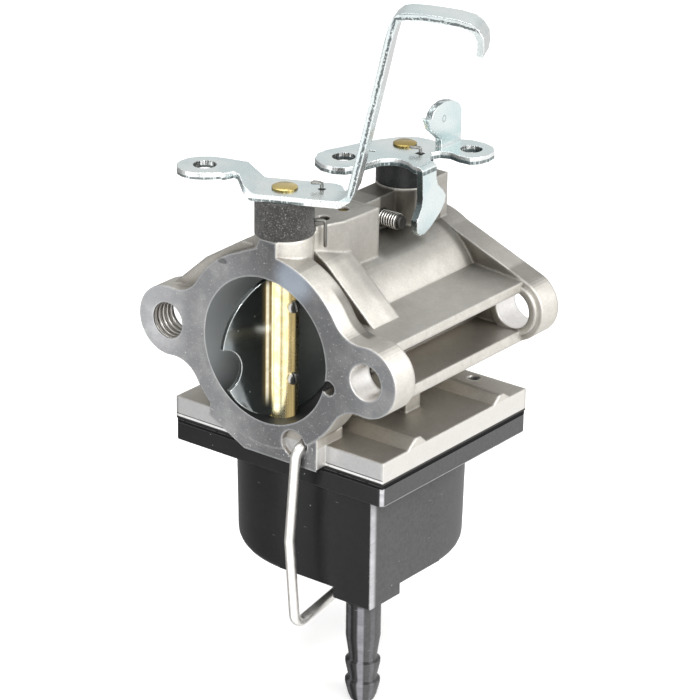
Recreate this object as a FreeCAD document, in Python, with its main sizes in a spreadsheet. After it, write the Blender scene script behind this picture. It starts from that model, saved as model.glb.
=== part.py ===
import FreeCAD, Part
import math
import os
import Sketcher
from FreeCAD import Placement, Rotation, Vector

# Small-engine float carburetor.
# Frame: origin at the centre of the intake bore on the machined intake face,
# +Y runs with the air flow towards the engine, +X to the right when looking
# into the intake, +Z up.  Millimetres and degrees.
#
# Names ending in _rad are radii, _pos places along Y, _right places along X,
# and _top, _under, _up, _low and _end heights along Z.

os.makedirs("parts", exist_ok=True)
doc = FreeCAD.newDocument("Carburetor")
sheet = doc.addObject("Spreadsheet::Sheet", "Dims")

DIMENSIONS = [
    # intake flange
    ("intake_bore_rad", 16.0), ("flange_rad", 21.3), ("flange_thick", 6.6),
    ("ear_offset", 26.16), ("ear_rad", 7.7), ("ear_blend", 7.0),
    ("bolt_hole_rad", 3.98), ("stud_hole_rad", 4.25), ("rib_top", -16.7),
    # barrel and venturi
    ("barrel_rad", 16.8), ("throat_rad", 8.5), ("throttle_bore_rad", 11.0),
    ("body_length", 58.0), ("barrel_start", 5.0),
    # engine flange
    ("engine_flange_thick", 6.0), ("engine_flange_rad", 16.5), ("engine_ear_rad", 7.1),
    # choke axis
    ("choke_axis_pos", 6.3), ("boss_rad", 6.15), ("boss_top", 24.5), ("shaft_rad", 3.175),
    ("run_clear", 0.05), ("choke_blind_end", -20.4),
    # throttle axis
    ("throttle_axis_pos", 47.0), ("throttle_blind_end", -14.6),
    # webs
    ("web_half", 28.0), ("web_top", 6.5), ("web_under", 4.3), ("web_root_top", 7.6),
    ("low_web_top", -4.6), ("low_web_under", -7.1),
    # top block and bridge; bridge_left and bridge_right are its X faces
    ("block_top", 25.6), ("block_side", 8.2), ("block_rear", 27.5), ("bridge_top", 24.0),
    ("bridge_left", -4.2), ("bridge_right", 2.0),
    # base plate
    ("plate_left", -26.8), ("plate_right", 28.4), ("plate_front", 3.44), ("plate_rear", 54.0),
    ("plate_under", -23.6), ("plate_rim_top", -18.6), ("plate_corner", 1.2), ("pad_front", 0.3),
    # gasket and bowl
    ("gasket_thick", 0.9), ("bowl_flange_thick", 4.0), ("bowl_axis_pos", 28.8),
    ("bowl_axis_right", 0.8), ("bowl_rad_top", 24.7), ("bowl_rad_low", 24.2),
    ("bowl_floor", -52.5), ("bowl_wall", 2.1), ("bowl_fillet", 3.0),
    ("bowl_inner_floor", -49.4), ("bowl_flange_over", 0.35), ("corner_under", -51.1),
    ("corner_right", 24.9), ("corner_front", 4.5), ("foot_under", -53.5),
    ("barb_axis_right", 19.6), ("barb_axis_pos", 9.3), ("barb_tube_rad", 3.72),
    ("barb_neck_rad", 3.07), ("barb_ring_rad", 3.75), ("barb_end", -77.5),
    ("fuel_passage_rad", 1.6),
    # choke and throttle plates
    ("plate_steel_thick", 1.0), ("choke_plate_rad", 15.85), ("throttle_plate_rad", 10.9),
    # levers and shaft heads; the angles are turned about Z
    ("lever_thick", 1.5), ("choke_lever_top", 34.0), ("choke_raised_top", 37.0),
    ("choke_lever_angle", 25.0), ("choke_rest_angle", 75.0), ("throttle_rest_angle", 15.0),
    ("choke_lever_width", 10.4), ("arm_width", 6.4), ("arm_front", -5.2),
    ("throttle_lever_top", 32.3), ("throttle_lever_thick", 1.6), ("neck_rad", 2.2),
    ("head_rad", 2.7), ("head_high", 0.6), ("throttle_head_rad", 2.55),
    # seals
    ("seal_rad", 6.2), ("seal_bore_rad", 4.95), ("choke_seal_top", 32.4),
    ("throttle_seal_rad", 6.12), ("throttle_seal_top", 29.7),
    # bail wire
    ("wire_rad", 1.1), ("bail_axis_right", 9.5), ("bail_axis_up", -18.9), ("bail_front", -1.25),
    ("bail_back", 56.0), ("bail_low", -59.8), ("bail_apex", -53.72),
    # idle screw; idle_tip and idle_head_start are places along X
    ("idle_pos", 37.0), ("idle_up", 19.2), ("idle_rad", 1.8), ("idle_root_rad", 1.42),
    ("idle_pitch", 0.64), ("idle_tip", 7.3), ("idle_head_start", -17.6),
    ("idle_head_thick", 2.6), ("idle_head_rad", 3.7),
    # fuel metering
    ("nozzle_pos", 25.5), ("nozzle_rad", 2.9), ("nozzle_top", -4.6), ("nozzle_low", -44.0),
    ("needle_pos", 15.5), ("hinge_pos", 10.0), ("hinge_up", -27.2), ("hinge_pin_rad", 0.75),
    ("float_rad", 17.2), ("float_hole_rad", 6.2), ("float_top", -30.6), ("float_under", -40.4),
]


# ============================================================ driving dimensions
class Val:
    """A number together with the spreadsheet expression that gives it."""

    def __init__(self, value, expr=None):
        self.value = float(value)
        self.expr = expr if expr is not None else repr(float(value))

    def _join(self, sign, other, value):
        return Val(value, "(%s %s %s)" % (self.expr, sign, other.expr))

    def __add__(self, other):
        other = as_val(other)
        return self._join("+", other, self.value + other.value)

    def __sub__(self, other):
        other = as_val(other)
        return self._join("-", other, self.value - other.value)

    def __rsub__(self, other):
        return Val(other) - self

    def __mul__(self, other):
        other = as_val(other)
        return self._join("*", other, self.value * other.value)

    def __neg__(self):
        return Val(-self.value, "(0 - %s)" % self.expr)


def as_val(x):
    return x if isinstance(x, Val) else Val(x)


def num(x):
    return as_val(x).value


class Dimensions:
    """The driving dimensions, one attribute for each alias of the sheet."""


dim = Dimensions()
sheet.set("A1", "dimension")
sheet.set("B1", "value in mm or degrees")
for row, (alias, value) in enumerate(DIMENSIONS, start=2):
    sheet.set("A%d" % row, alias)
    sheet.set("B%d" % row, repr(value))
    sheet.setAlias("B%d" % row, alias)
    setattr(dim, alias, Val(value, "Dims." + alias))
doc.recompute()


def bind(obj, prop, x):
    """Set a property and, where the size comes from the sheet, bind it."""
    if isinstance(x, Val):
        obj.setExpression(prop, x.expr)
    else:
        setattr(obj, prop, float(x))


def place(obj, pos, turn=None):
    obj.Placement = Placement(Vector(*[num(x) for x in pos]), turn or Rotation())
    for axis, x in zip("xyz", pos):
        if isinstance(x, Val):
            obj.setExpression("Placement.Base." + axis, x.expr)


# ================================================================= Part solids
# rotations that lay an object's own Z axis along the named axis
ALONG_X = Rotation(Vector(0, 1, 0), 90)
ALONG_Y = Rotation(Vector(1, 0, 0), -90)

# sketch plane: rotation of the sketch, direction in which slabs thicken
PLANES = {
    "XY": (Rotation(), (0, 0, 1)),
    "XZ": (Rotation(Vector(1, 0, 0), 90), (0, 1, 0)),
    "YZ": (Rotation(Vector(1, 1, 1), 120), (1, 0, 0)),
}


def cylinder(name, rad, length, pos, turn=None):
    obj = doc.addObject("Part::Cylinder", name)
    bind(obj, "Radius", rad)
    bind(obj, "Height", length)
    place(obj, pos, turn)
    return obj


def ear_pair(name, rad, length, start):
    """Equal cylinders along Y on the axes of the right and left ears."""
    return [cylinder(name + "_right", rad, length, (dim.ear_offset, start, 0), ALONG_Y),
            cylinder(name + "_left", rad, length, (-dim.ear_offset, start, 0), ALONG_Y)]


def box(name, *spans):
    """Block given by its (low, high) spans in x, y and z."""
    obj = doc.addObject("Part::Box", name)
    for prop, (low, high) in zip(("Length", "Width", "Height"), spans):
        bind(obj, prop, high - low)
    place(obj, [span[0] for span in spans])
    return obj


def fuse(name, shapes):
    obj = doc.addObject("Part::MultiFuse", name)
    obj.Shapes = shapes
    return obj


def cut(name, base, tool):
    obj = doc.addObject("Part::Cut", name)
    obj.Base = base
    obj.Tool = tool
    return obj


def constrain(sketch, size, *what):
    """Add a sized constraint, bound to the sheet where the size is a Val."""
    index = sketch.addConstraint(Sketcher.Constraint(*what, num(size)))
    if isinstance(size, Val):
        sketch.setExpression("Constraints[%d]" % index, size.expr)


def pin(sketch, geo, point, x, y):
    """Hold one sketch point at (x, y)."""
    for kind, place_at, axis in (("DistanceX", x, -2), ("DistanceY", y, -1)):
        if not isinstance(place_at, Val) and place_at == 0:
            sketch.addConstraint(Sketcher.Constraint("PointOnObject", geo, point, axis))
        else:
            constrain(sketch, place_at, kind, -1, 1, geo, point)


def polygon(sketch, points):
    """Closed outline of straight edges through points."""
    count = len(points)
    first = sketch.GeometryCount
    corners = [Vector(num(x), num(y), 0) for x, y in points]
    for i in range(count):
        sketch.addGeometry(Part.LineSegment(corners[i], corners[(i + 1) % count]), False)
    for i in range(count):
        sketch.addConstraint(
            Sketcher.Constraint("Coincident", first + i, 2, first + (i + 1) % count, 1))
    for i, (x, y) in enumerate(points):
        pin(sketch, first + i, 1, x, y)


def circle(sketch, x, y, rad):
    ring = Part.Circle(Vector(num(x), num(y), 0), Vector(0, 0, 1), num(rad))
    geo = sketch.addGeometry(ring, False)
    pin(sketch, geo, 3, x, y)
    constrain(sketch, rad, "Radius", geo)


def rectangle(x_span, y_span):
    (left, right), (low, high) = x_span, y_span
    return [(left, low), (right, low), (right, high), (left, high)]


def centred(half_x, half_y):
    """Rectangle about the sketch origin."""
    return rectangle((-half_x, half_x), (-half_y, half_y))


def free_sketch(name, plane, offset=0.0):
    """Sketch outside any body, moved along the plane's thickening direction."""
    sketch = doc.addObject("Sketcher::SketchObject", name)
    turn, direction = PLANES[plane]
    place(sketch, [offset if step else 0 for step in direction], turn)
    return sketch


def extrude(name, sketch, length, direction):
    obj = doc.addObject("Part::Extrusion", name)
    obj.Base = sketch
    obj.DirMode = "Custom"
    obj.Dir = Vector(*direction)
    bind(obj, "LengthFwd", length)
    obj.Solid = True
    return obj


def slab(name, plane, points, start, length):
    """Prism: an outline on a plane, thickened along that plane's axis."""
    sketch = free_sketch(name + "_outline", plane, start)
    polygon(sketch, points)
    return extrude(name, sketch, length, PLANES[plane][1])


# =========================================================== PartDesign bodies
PARTS = []


def keep(obj, label):
    obj.Label = label
    PARTS.append(obj)


def new_body(label, pos=(0, 0, 0), turn=None):
    body = doc.addObject("PartDesign::Body", label)
    body.Label = label
    place(body, pos, turn)
    return body


def new_part(label, pos=(0, 0, 0), turn=None):
    """A body that is written out as a part of its own."""
    body = new_body(label, pos, turn)
    keep(body, label)
    return body


def volume(body):
    return body.Shape.Volume if body.Tip else 0.0


def origin_plane(body, role):
    for origin_feature in body.Origin.OriginFeatures:
        if origin_feature.Role == role:
            return origin_feature
    raise RuntimeError("no origin plane " + role)


def body_sketch(body, name, plane="XY", offset=None, points=(), circles=()):
    """Sketch on an origin plane, holding one outline and any (x, y, radius) circles."""
    sketch = body.newObject("Sketcher::SketchObject", name)
    sketch.AttachmentSupport = [(origin_plane(body, plane + "_Plane"), "")]
    sketch.MapMode = "FlatFace"
    if offset is not None:
        sketch.AttachmentOffset = Placement(Vector(0, 0, num(offset)), Rotation())
        if isinstance(offset, Val):
            sketch.setExpression("AttachmentOffset.Base.z", offset.expr)
    if points:
        polygon(sketch, points)
    for x, y, rad in circles:
        circle(sketch, x, y, rad)
    return sketch


def pad(body, name, length, down=False, mid=False, **drawing):
    sketch = body_sketch(body, name, **drawing)
    before = volume(body)
    feat = body.newObject("PartDesign::Pad", sketch.Name + "_pad")
    feat.Profile = sketch
    bind(feat, "Length", length)
    feat.Reversed = down
    if mid:
        feat.Midplane = True
    doc.recompute()
    if not feat.Shape or feat.Shape.isNull() or volume(body) <= before:
        raise RuntimeError("pad added nothing: " + feat.Name)


def pocket(body, name, length, up=False, mid=False, **drawing):
    """Cut a sketch into the body, turning the cut round if it misses."""
    sketch = body_sketch(body, name, **drawing)
    before = volume(body)
    feat = body.newObject("PartDesign::Pocket", sketch.Name + "_cut")
    feat.Profile = sketch
    bind(feat, "Length", length)
    feat.Reversed = up
    if mid:
        feat.Midplane = True
    doc.recompute()
    if volume(body) >= before - 1e-6:
        feat.Reversed = not feat.Reversed
        doc.recompute()
    if volume(body) >= before - 1e-6:
        raise RuntimeError("pocket cut nothing: " + feat.Name)


def turned(body, name, points, groove=False):
    """Revolve an outline (radius, height) about the body's own Z axis."""
    sketch = body_sketch(body, name, "XZ", points=points)
    before = volume(body)
    kind = "PartDesign::Groove" if groove else "PartDesign::Revolution"
    feat = body.newObject(kind, name + "_turn")
    feat.Profile = sketch
    feat.ReferenceAxis = (sketch, ["V_Axis"])
    feat.Angle = 360.0
    doc.recompute()
    after = volume(body)
    if (groove and after >= before) or (not groove and after <= before):
        raise RuntimeError("turning changed nothing: " + feat.Name)


def ends(edge):
    return edge.Vertexes[0].Point, edge.Vertexes[-1].Point


def vertical_at(points):
    """Test for upright edges that stand at one of the (x, y) points."""
    def test(edge):
        start, end = ends(edge)
        if math.hypot(start.x - end.x, start.y - end.y) > 0.01 or abs(start.z - end.z) < 0.05:
            return False
        return any(math.hypot(start.x - x, start.y - y) < 0.05 for x, y in points)
    return test


def round_edges(body, test, rad):
    tip = body.Tip
    names = ["Edge%d" % i for i, edge in enumerate(tip.Shape.Edges, start=1) if test(edge)]
    if not names:
        raise RuntimeError("no edges to round on " + body.Label)
    feat = body.newObject("PartDesign::Fillet", body.Name + "_round%d" % len(body.Group))
    feat.Base = (tip, names)
    bind(feat, "Radius", rad)
    doc.recompute()
    if "Invalid" in feat.State or feat.Shape.isNull() or not feat.Shape.isValid():
        raise RuntimeError("rounding failed on " + body.Label)


# ===================================================================== casting
def flange_outline():
    """Round flange with two ears, joined by tangent concave arcs."""
    main, ear = dim.flange_rad.value, dim.ear_rad.value
    blend, offset = dim.ear_blend.value, dim.ear_offset.value
    # centre of the upper right blend, which touches both flange and ear
    blend_x = ((main + blend) ** 2 - (ear + blend) ** 2 + offset ** 2) / (2 * offset)
    blend_z = math.sqrt((main + blend) ** 2 - blend_x ** 2)
    at_main = math.atan2(blend_z, blend_x)
    at_ear = math.atan2(blend_z, blend_x - offset)
    pi = math.pi
    # centre x, centre z, radius cell, start angle, end angle
    arcs = [
        (0, 0, dim.flange_rad, at_main, pi - at_main),                           # top
        (-blend_x, blend_z, dim.ear_blend, 2 * pi - at_ear, 2 * pi - at_main),   # upper left
        (-offset, 0, dim.ear_rad, pi - at_ear, pi + at_ear),                     # left ear
        (-blend_x, -blend_z, dim.ear_blend, at_main, at_ear),                    # lower left
        (0, 0, dim.flange_rad, pi + at_main, 2 * pi - at_main),                  # bottom
        (blend_x, -blend_z, dim.ear_blend, pi - at_ear, pi - at_main),           # lower right
        (offset, 0, dim.ear_rad, -at_ear, at_ear),                               # right ear
        (blend_x, blend_z, dim.ear_blend, pi + at_main, pi + at_ear),            # upper right
    ]
    top, left_ear, bottom, right_ear = 0, 2, 4, 6
    sketch = free_sketch("intake_outline", "XZ")
    for x, z, rad, start, end in arcs:
        ring = Part.Circle(Vector(x, z, 0), Vector(0, 0, 1), rad.value)
        sketch.addGeometry(Part.ArcOfCircle(ring, start, end), False)
    # each arc meets the next, alternately at their ends (2) and at their starts (1)
    for i in range(8):
        point = 1 if i % 2 else 2
        sketch.addConstraint(Sketcher.Constraint("Tangent", i, point, (i + 1) % 8, point))
    for geo in (top, bottom):
        sketch.addConstraint(Sketcher.Constraint("Coincident", geo, 3, -1, 1))
    for geo in (0, 4, 2, 6, 1, 3, 5, 7):
        constrain(sketch, arcs[geo][2], "Radius", geo)
    for geo, sign in ((right_ear, 1.0), (left_ear, -1.0)):
        sketch.addConstraint(Sketcher.Constraint("PointOnObject", geo, 3, -1))
        constrain(sketch, dim.ear_offset * sign, "DistanceX", -1, 1, geo, 3)
    return sketch


def diamond_outline():
    """Straight-sided outline through the tangent points of round and ears."""
    main, ear = dim.engine_flange_rad.value, dim.engine_ear_rad.value
    offset = dim.ear_offset.value
    angle = math.acos((main - ear) / offset)
    main_x, main_z = main * math.cos(angle), main * math.sin(angle)
    ear_x, ear_z = offset + ear * math.cos(angle), ear * math.sin(angle)
    upper = [(ear_x, ear_z), (main_x, main_z), (-main_x, main_z), (-ear_x, ear_z)]
    return upper + [(x, -z) for x, z in upper[::-1]]


engine_start = dim.body_length - dim.engine_flange_thick

# outlines on XZ: x, z
GUSSET_RIGHT = [(-2, 20.6), (4.8, 20.4), (7.7, 18.6), (21.6, 6.1), (26, 6.1), (26, 1.5),
                (-2, 1.5)]
GUSSET_LEFT = [(2, 21.4), (-8.6, 21.4), (-18, 15.5), (-28.6, 5.9), (-28.6, 1.5), (2, 1.5)]
UPPER_WEB = [(dim.web_half, dim.web_under), (dim.web_half, dim.web_top),
             (14, dim.web_root_top), (-14, dim.web_root_top),
             (-dim.web_half, dim.web_top), (-dim.web_half, dim.web_under)]
FRONT_PAD = [(-14.5, -13.5), (-15.2, dim.plate_rim_top), (-5.6, dim.plate_under),
             (13.6, dim.plate_under), (13.6, -16.4), (11.5, -13.5)]
TONGUE = [(2.8, 18.0), (2.8, dim.boss_top - 0.1), (-1.4, dim.boss_top - 0.1), (-2.6, 22.0),
          (-6.2, 20.6), (-8.0, 18.0)]
# outline on XY: x, y
TOP_BLOCK = [(dim.bridge_left, 6), (dim.bridge_left, dim.block_rear),
             (dim.block_side, dim.block_rear), (dim.block_side - 0.6, 16.8), (4.9, 10), (4.9, 6)]

# low cross ribs on the base plate, each interrupted in the middle
RIB_INNER = 9.0
rib_foot = dim.plate_rim_top - 0.05
rear_rib_top = dim.rib_top - 0.3
# outlines on YZ: y, z
RIBS = {
    "front": [(12.0, rib_foot), (14.8, dim.rib_top), (16.2, dim.rib_top), (18.4, rib_foot)],
    "rear": [(42.2, rib_foot), (44.2, rear_rib_top), (45.8, rear_rib_top), (48.2, rib_foot)],
}
ribs = []
for end, outline in RIBS.items():
    ribs.append(slab(end + "_rib_right", "YZ", outline, RIB_INNER, dim.plate_right - RIB_INNER))
    ribs.append(slab(end + "_rib_left", "YZ", outline, dim.plate_left,
                     -RIB_INNER - dim.plate_left))

web_block_span = ((5, 25), (1.5, dim.web_under + 0.5))
hinge_post_span = ((7.9, 12.2), (-29.2, dim.plate_under + 0.5))

solid = fuse("casting_solid", [
    extrude("intake_flange", flange_outline(), dim.flange_thick, (0, 1, 0)),
    # engine flange
    slab("engine_diamond", "XZ", diamond_outline(), engine_start, dim.engine_flange_thick),
    cylinder("engine_round", dim.engine_flange_rad, dim.engine_flange_thick,
             (0, engine_start, 0), ALONG_Y),
    *ear_pair("engine_ear", dim.engine_ear_rad, dim.engine_flange_thick, engine_start),
    *ear_pair("spot_face", 5.9, 1.2, engine_start - 0.8),
    # barrel and shaft bosses
    cylinder("barrel", dim.barrel_rad, dim.body_length - dim.barrel_start,
             (0, dim.barrel_start, 0), ALONG_Y),
    cylinder("neck_fill", 17.6, 12.0, (0, 4.0, 0), ALONG_Y),
    cylinder("choke_boss", dim.boss_rad, dim.boss_top - 12, (0, dim.choke_axis_pos, 12)),
    cylinder("choke_boss_low", dim.boss_rad - 0.9, -12.0 - dim.plate_under,
             (0, dim.choke_axis_pos, dim.plate_under)),
    cylinder("throttle_boss", dim.boss_rad, dim.boss_top - 10, (0, dim.throttle_axis_pos, 10)),
    # gussets, top block, bridge and webs
    slab("gusset_right", "XZ", GUSSET_RIGHT, 10.0, 8.7),
    slab("gusset_left", "XZ", GUSSET_LEFT, 3.0, 15.7),
    slab("top_block", "XY", TOP_BLOCK, 12.0, dim.block_top - 12),
    box("bridge", (dim.bridge_left, dim.bridge_right), (20, 44), (12, dim.bridge_top)),
    slab("upper_web", "XZ", UPPER_WEB, 5.0, dim.body_length - 11),
    box("web_block_right", (12, 26.4), *web_block_span),
    box("web_block_left", (-26.4, -12), *web_block_span),
    box("lower_web", (-dim.web_half, dim.web_half), (5, dim.body_length - 5),
        (dim.low_web_under, dim.low_web_top)),
    # base plate, with a pad just behind the plane of the intake face
    box("base_plate", (dim.plate_left, dim.plate_right), (dim.plate_front, dim.plate_rear),
        (dim.plate_under, dim.plate_rim_top)),
    slab("front_pad", "XZ", FRONT_PAD, dim.pad_front, 9 - dim.pad_front),
    cylinder("nozzle_column", 9.0, 14.0, (0, dim.nozzle_pos, dim.plate_under)),
    box("keel", (-3.2, 3.2), (6, 52), (dim.plate_under, -12)),
    box("web_lug", (12.5, 16.5), (27, 32), (-21, dim.low_web_under + 0.5)),
    box("rear_post", (1.6, 6.0), (50.2, 54.4), (12, 25.4)),
    *ribs,
    slab("face_tongue", "XZ", TONGUE, 0.0, 5.0),
    # float hinge posts and needle seat boss, under the plate
    box("hinge_post_a", (-5.6, -3.2), *hinge_post_span),
    box("hinge_post_b", (3.2, 5.6), *hinge_post_span),
    cylinder("seat_boss", 3.6, 2.6, (0, dim.needle_pos, dim.plate_under - 1.6)),
])

# air passage: inlet, venturi and throttle bore, turned about the Y axis
AIR_PASSAGE = [  # radius, y
    (0, -1), (dim.intake_bore_rad, -1), (dim.intake_bore_rad, 9.4), (15.35, 12), (14.45, 14),
    (13.2, 16), (11.5, 18), (9.8, 20), (8.9, 22), (dim.throat_rad, 24), (dim.throat_rad, 27.5),
    (dim.throttle_bore_rad, 40), (dim.throttle_bore_rad, dim.body_length + 1),
    (0, dim.body_length + 1)]
air_sketch = free_sketch("air_passage_profile", "XY")
polygon(air_sketch, AIR_PASSAGE)
air = doc.addObject("Part::Revolution", "air_passage")
air.Source = air_sketch
air.Axis = Vector(0, 1, 0)
air.Base = Vector(0, 0, 0)
air.Angle = 360.0
air.Solid = True

shaft_hole_rad = dim.shaft_rad + dim.run_clear
bail_hole_rad = dim.wire_rad + dim.run_clear
# from the needle seat to the fuel port
gallery_x = dim.barb_axis_right.value
gallery_y = dim.barb_axis_pos.value - dim.needle_pos.value


def bail_bore(name, rad, length, start, x=dim.bail_axis_right):
    """Hole along Y at the height of the bail's pivot axis."""
    return cylinder(name, rad, length, (x, start, dim.bail_axis_up), ALONG_Y)


tools = [
    air,
    cylinder("choke_shaft_hole", shaft_hole_rad, 50.0,
             (0, dim.choke_axis_pos, dim.choke_blind_end)),
    cylinder("throttle_shaft_hole", shaft_hole_rad, 44.0,
             (0, dim.throttle_axis_pos, dim.throttle_blind_end)),
    *ear_pair("bolt_hole", dim.bolt_hole_rad, dim.flange_thick + 14, -1),
    *ear_pair("engine_hole", dim.stud_hole_rad, 12.0, dim.body_length - 10),
    *ear_pair("bolt_clear", dim.stud_hole_rad + 0.35, 30.0, 19),
    cylinder("choke_seal_seat", dim.seal_rad + 0.12, 4.0,
             (0, dim.choke_axis_pos, dim.boss_top)),
    cylinder("throttle_seal_seat", dim.throttle_seal_rad + 0.12, 4.0,
             (0, dim.throttle_axis_pos, dim.boss_top)),
    bail_bore("bail_recess", 3.1, 2.4, -1.0, dim.bail_axis_right - 1.8),
    cylinder("vent_hole", 1.6, 15.0, (16.7, -1, -3.8), ALONG_Y),
    cylinder("idle_screw_hole", dim.idle_rad + dim.run_clear, 12.0,
             (-8, dim.idle_pos, dim.idle_up), ALONG_X),
    cylinder("idle_plug_hole", 1.5, 3.0, (3.0, 15.2, dim.block_top - 2.6)),
    cylinder("idle_jet_hole", 1.27, 9.0, (3.0, 22.0, dim.block_top - 8.4)),
    cylinder("plate_small_hole", 1.35, 3.0, (16.3, 51.6, dim.plate_rim_top - 2.6)),
    cylinder("nozzle_hole", dim.nozzle_rad + 0.02, 30.0, (0, dim.nozzle_pos, -30)),
    bail_bore("bail_hole_front", bail_hole_rad, 6.6, dim.pad_front - 1),
    bail_bore("bail_hole_front_mouth", 1.6, 1.6, dim.pad_front - 1),
    bail_bore("bail_hole_back", bail_hole_rad, 6.6, dim.plate_rear - 5.0),
    bail_bore("bail_hole_back_mouth", 1.6, 1.6, dim.plate_rear + 0.1),
    cylinder("seat_hole", 2.52, 5.2, (0, dim.needle_pos, dim.plate_under - 2.0)),
    cylinder("seat_feed", 1.0, 3.0, (0, dim.needle_pos, dim.plate_under + 2.4)),
    cylinder("hinge_pin_hole", dim.hinge_pin_rad + 0.01, 14.0,
             (-7, dim.hinge_pos, dim.hinge_up), ALONG_X),
    cylinder("fuel_port", dim.fuel_passage_rad, 2.0,
             (dim.barb_axis_right, dim.barb_axis_pos, dim.plate_under - 0.01)),
    cylinder("fuel_port_seat", 2.5, 0.8,
             (dim.barb_axis_right, dim.barb_axis_pos, dim.plate_under - 0.01)),
    cylinder("fuel_gallery", 0.85, math.hypot(gallery_x, gallery_y),
             (0, dim.needle_pos, dim.plate_under + 1.45),
             Rotation(Vector(0, 0, 1), Vector(gallery_x, gallery_y, 0))),
]
# thread grooves in the left ear
EAR_THREAD_PITCH = 1.41
for i in range(4):
    groove_ring = doc.addObject("Part::Torus", "ear_thread_%d" % i)
    bind(groove_ring, "Radius1", dim.bolt_hole_rad)
    groove_ring.Radius2 = 0.3
    place(groove_ring, (-dim.ear_offset, 0.9 + EAR_THREAD_PITCH * i, 0), ALONG_Y)
    tools.append(groove_ring)
keep(cut("casting_cut", solid, fuse("casting_tools", tools)), "carburetor_body")


# ======================================================================= choke
def slotted_shaft(label, axis_pos, bottom, shoulder, lever_top, plate_rad, head_rad, angle):
    """Upright shaft with a slot for its plate and a staked head above its lever."""
    shaft = new_part(label, (0, axis_pos, 0), Rotation(Vector(0, 0, 1), angle))
    turned(shaft, label + "_profile", [
        (0, bottom), (dim.shaft_rad - 0.4, bottom), (dim.shaft_rad, bottom + 0.4),
        (dim.shaft_rad, shoulder), (dim.neck_rad, shoulder), (dim.neck_rad, lever_top),
        (head_rad, lever_top), (head_rad, lever_top + dim.head_high * 0.6),
        (head_rad - 0.5, lever_top + dim.head_high), (0, lever_top + dim.head_high)])
    pocket(shaft, label + "_slot", (plate_rad + 0.05) * 2, mid=True,
           points=centred(4, dim.plate_steel_thick * 0.5))
    return shaft


CHOKE_SCREW_HEIGHTS = {"upper": 9.0, "lower": -7.0}
choke_screw_holes = [(0, height, 1.02) for height in CHOKE_SCREW_HEIGHTS.values()]
choke_rest = dim.choke_rest_angle.value
choke_shoulder = dim.choke_lever_top - dim.lever_thick

body = slotted_shaft("choke_shaft", dim.choke_axis_pos, dim.choke_blind_end + 0.1,
                     choke_shoulder, dim.choke_lever_top, dim.choke_plate_rad,
                     dim.head_rad, choke_rest)
pocket(body, "choke_shaft_screw_holes", 9.0, mid=True, plane="XZ", circles=choke_screw_holes)

# choke plate: disc with a rounded notch in its own -X edge
body = new_part("choke_plate", (0, dim.choke_axis_pos, 0),
                Rotation(Vector(0, 0, 1), choke_rest))
pad(body, "choke_disc", dim.plate_steel_thick, mid=True, plane="XZ",
    circles=[(0, 0, dim.choke_plate_rad)])
pocket(body, "choke_notch", 4.0, mid=True, plane="XZ", circles=[(-15.9, -2.9, 4.9)])
pocket(body, "choke_plate_screw_holes", 4.0, mid=True, plane="XZ", circles=choke_screw_holes)

# two screws through the shaft and the plate, heads on the face that looks
# out of the intake when the plate is square to the bore
lean = math.radians(choke_rest)
facing = Rotation(Vector(0, 0, 1), Vector(math.sin(lean), -math.cos(lean), 0))
head_seat = dim.shaft_rad + 0.01
head_top = dim.shaft_rad + 0.9
for which, height in CHOKE_SCREW_HEIGHTS.items():
    label = "choke_plate_screw_" + which
    body = new_part(label, (0, dim.choke_axis_pos, height), facing)
    turned(body, label + "_profile", [
        (0, -3.1), (0.78, -3.1), (0.98, -2.9), (0.98, head_seat), (1.38, head_seat),
        (1.38, dim.shaft_rad + 0.45), (1.18, dim.shaft_rad + 0.75),
        (0.7, dim.shaft_rad + 0.88), (0, head_top)])
    pocket(body, label + "_slot", 0.4, offset=head_top, points=centred(1.6, 0.2))

# choke lever in its own frame: X along the lever, origin on the choke axis
LEVER_CUT_FROM = 30.0    # below both levers; their cuts run up from here
CHOKE_SPRING_HOLE = (7.45, 1.35)
lever_half = dim.choke_lever_width * 0.5
raised_under = dim.choke_raised_top - dim.lever_thick
# x, y
CHOKE_LOW_PLATE = [(-5.6, -lever_half), (12.4, -lever_half), (12.4, 1.2), (11.0, 4.4),
                   (9.4, lever_half), (-5.6, lever_half)]
# x, z
CHOKE_JOGGLE = [(-5.2, choke_shoulder), (-5.2, dim.choke_lever_top),
                (-5.4, dim.choke_lever_top), (-9.1, dim.choke_raised_top),
                (-12.5, dim.choke_raised_top), (-12.5, raised_under), (-9.7, raised_under),
                (-6.0, choke_shoulder)]
# x, y
JOGGLE_TRIM_A = [(-4.9, -5.2), (-4.9, -9), (-13, -9), (-13, -3.2), (-12.0, -2.6),
                 (-10.6, -0.9), (-9.4, -1.6), (-7.6, -4.6), (-6.4, -5.2)]
JOGGLE_TRIM_B = [(-4.9, 5.2), (-4.9, 9), (-13, 9), (-13, 5.65), (-11, 5.4)]
CHOKE_RAISED_PLATE = [
    (-10.4, 5.5), (-14.5, 6.3), (-17.3, 6.35), (-19.6, 5.7), (-21.4, 4.4), (-22.6, 2.4),
    (-22.9, 0.4), (-22.2, -1.7), (-20.8, -3.1), (-18.6, -3.9), (-16.4, -3.75),
    (-14.6, -3.1), (-13.1, -2.4), (-12.0, -2.6), (-10.4, -1.0)]
# one face of the upright arm, with the tab bent over at its top: x, z
CHOKE_ARM = [
    (10.6, 34.0), (12.3, 34.1), (13.5, 34.9), (14.2, 36.6), (14.9, 39.6), (16.2, 45.2),
    (17.5, 51.0), (18.6, 56.0), (19.8, 61.6), (21.2, 68.4), (22.1, 71.9), (22.8, 73.5),
    (24.0, 74.5), (25.7, 74.9), (28.9, 74.9), (32.2, 74.7), (35.6, 74.4), (38.4, 73.8),
    (40.1, 72.6), (41.2, 70.9), (41.4, 68.8), (41.1, 66.9)]


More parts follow.
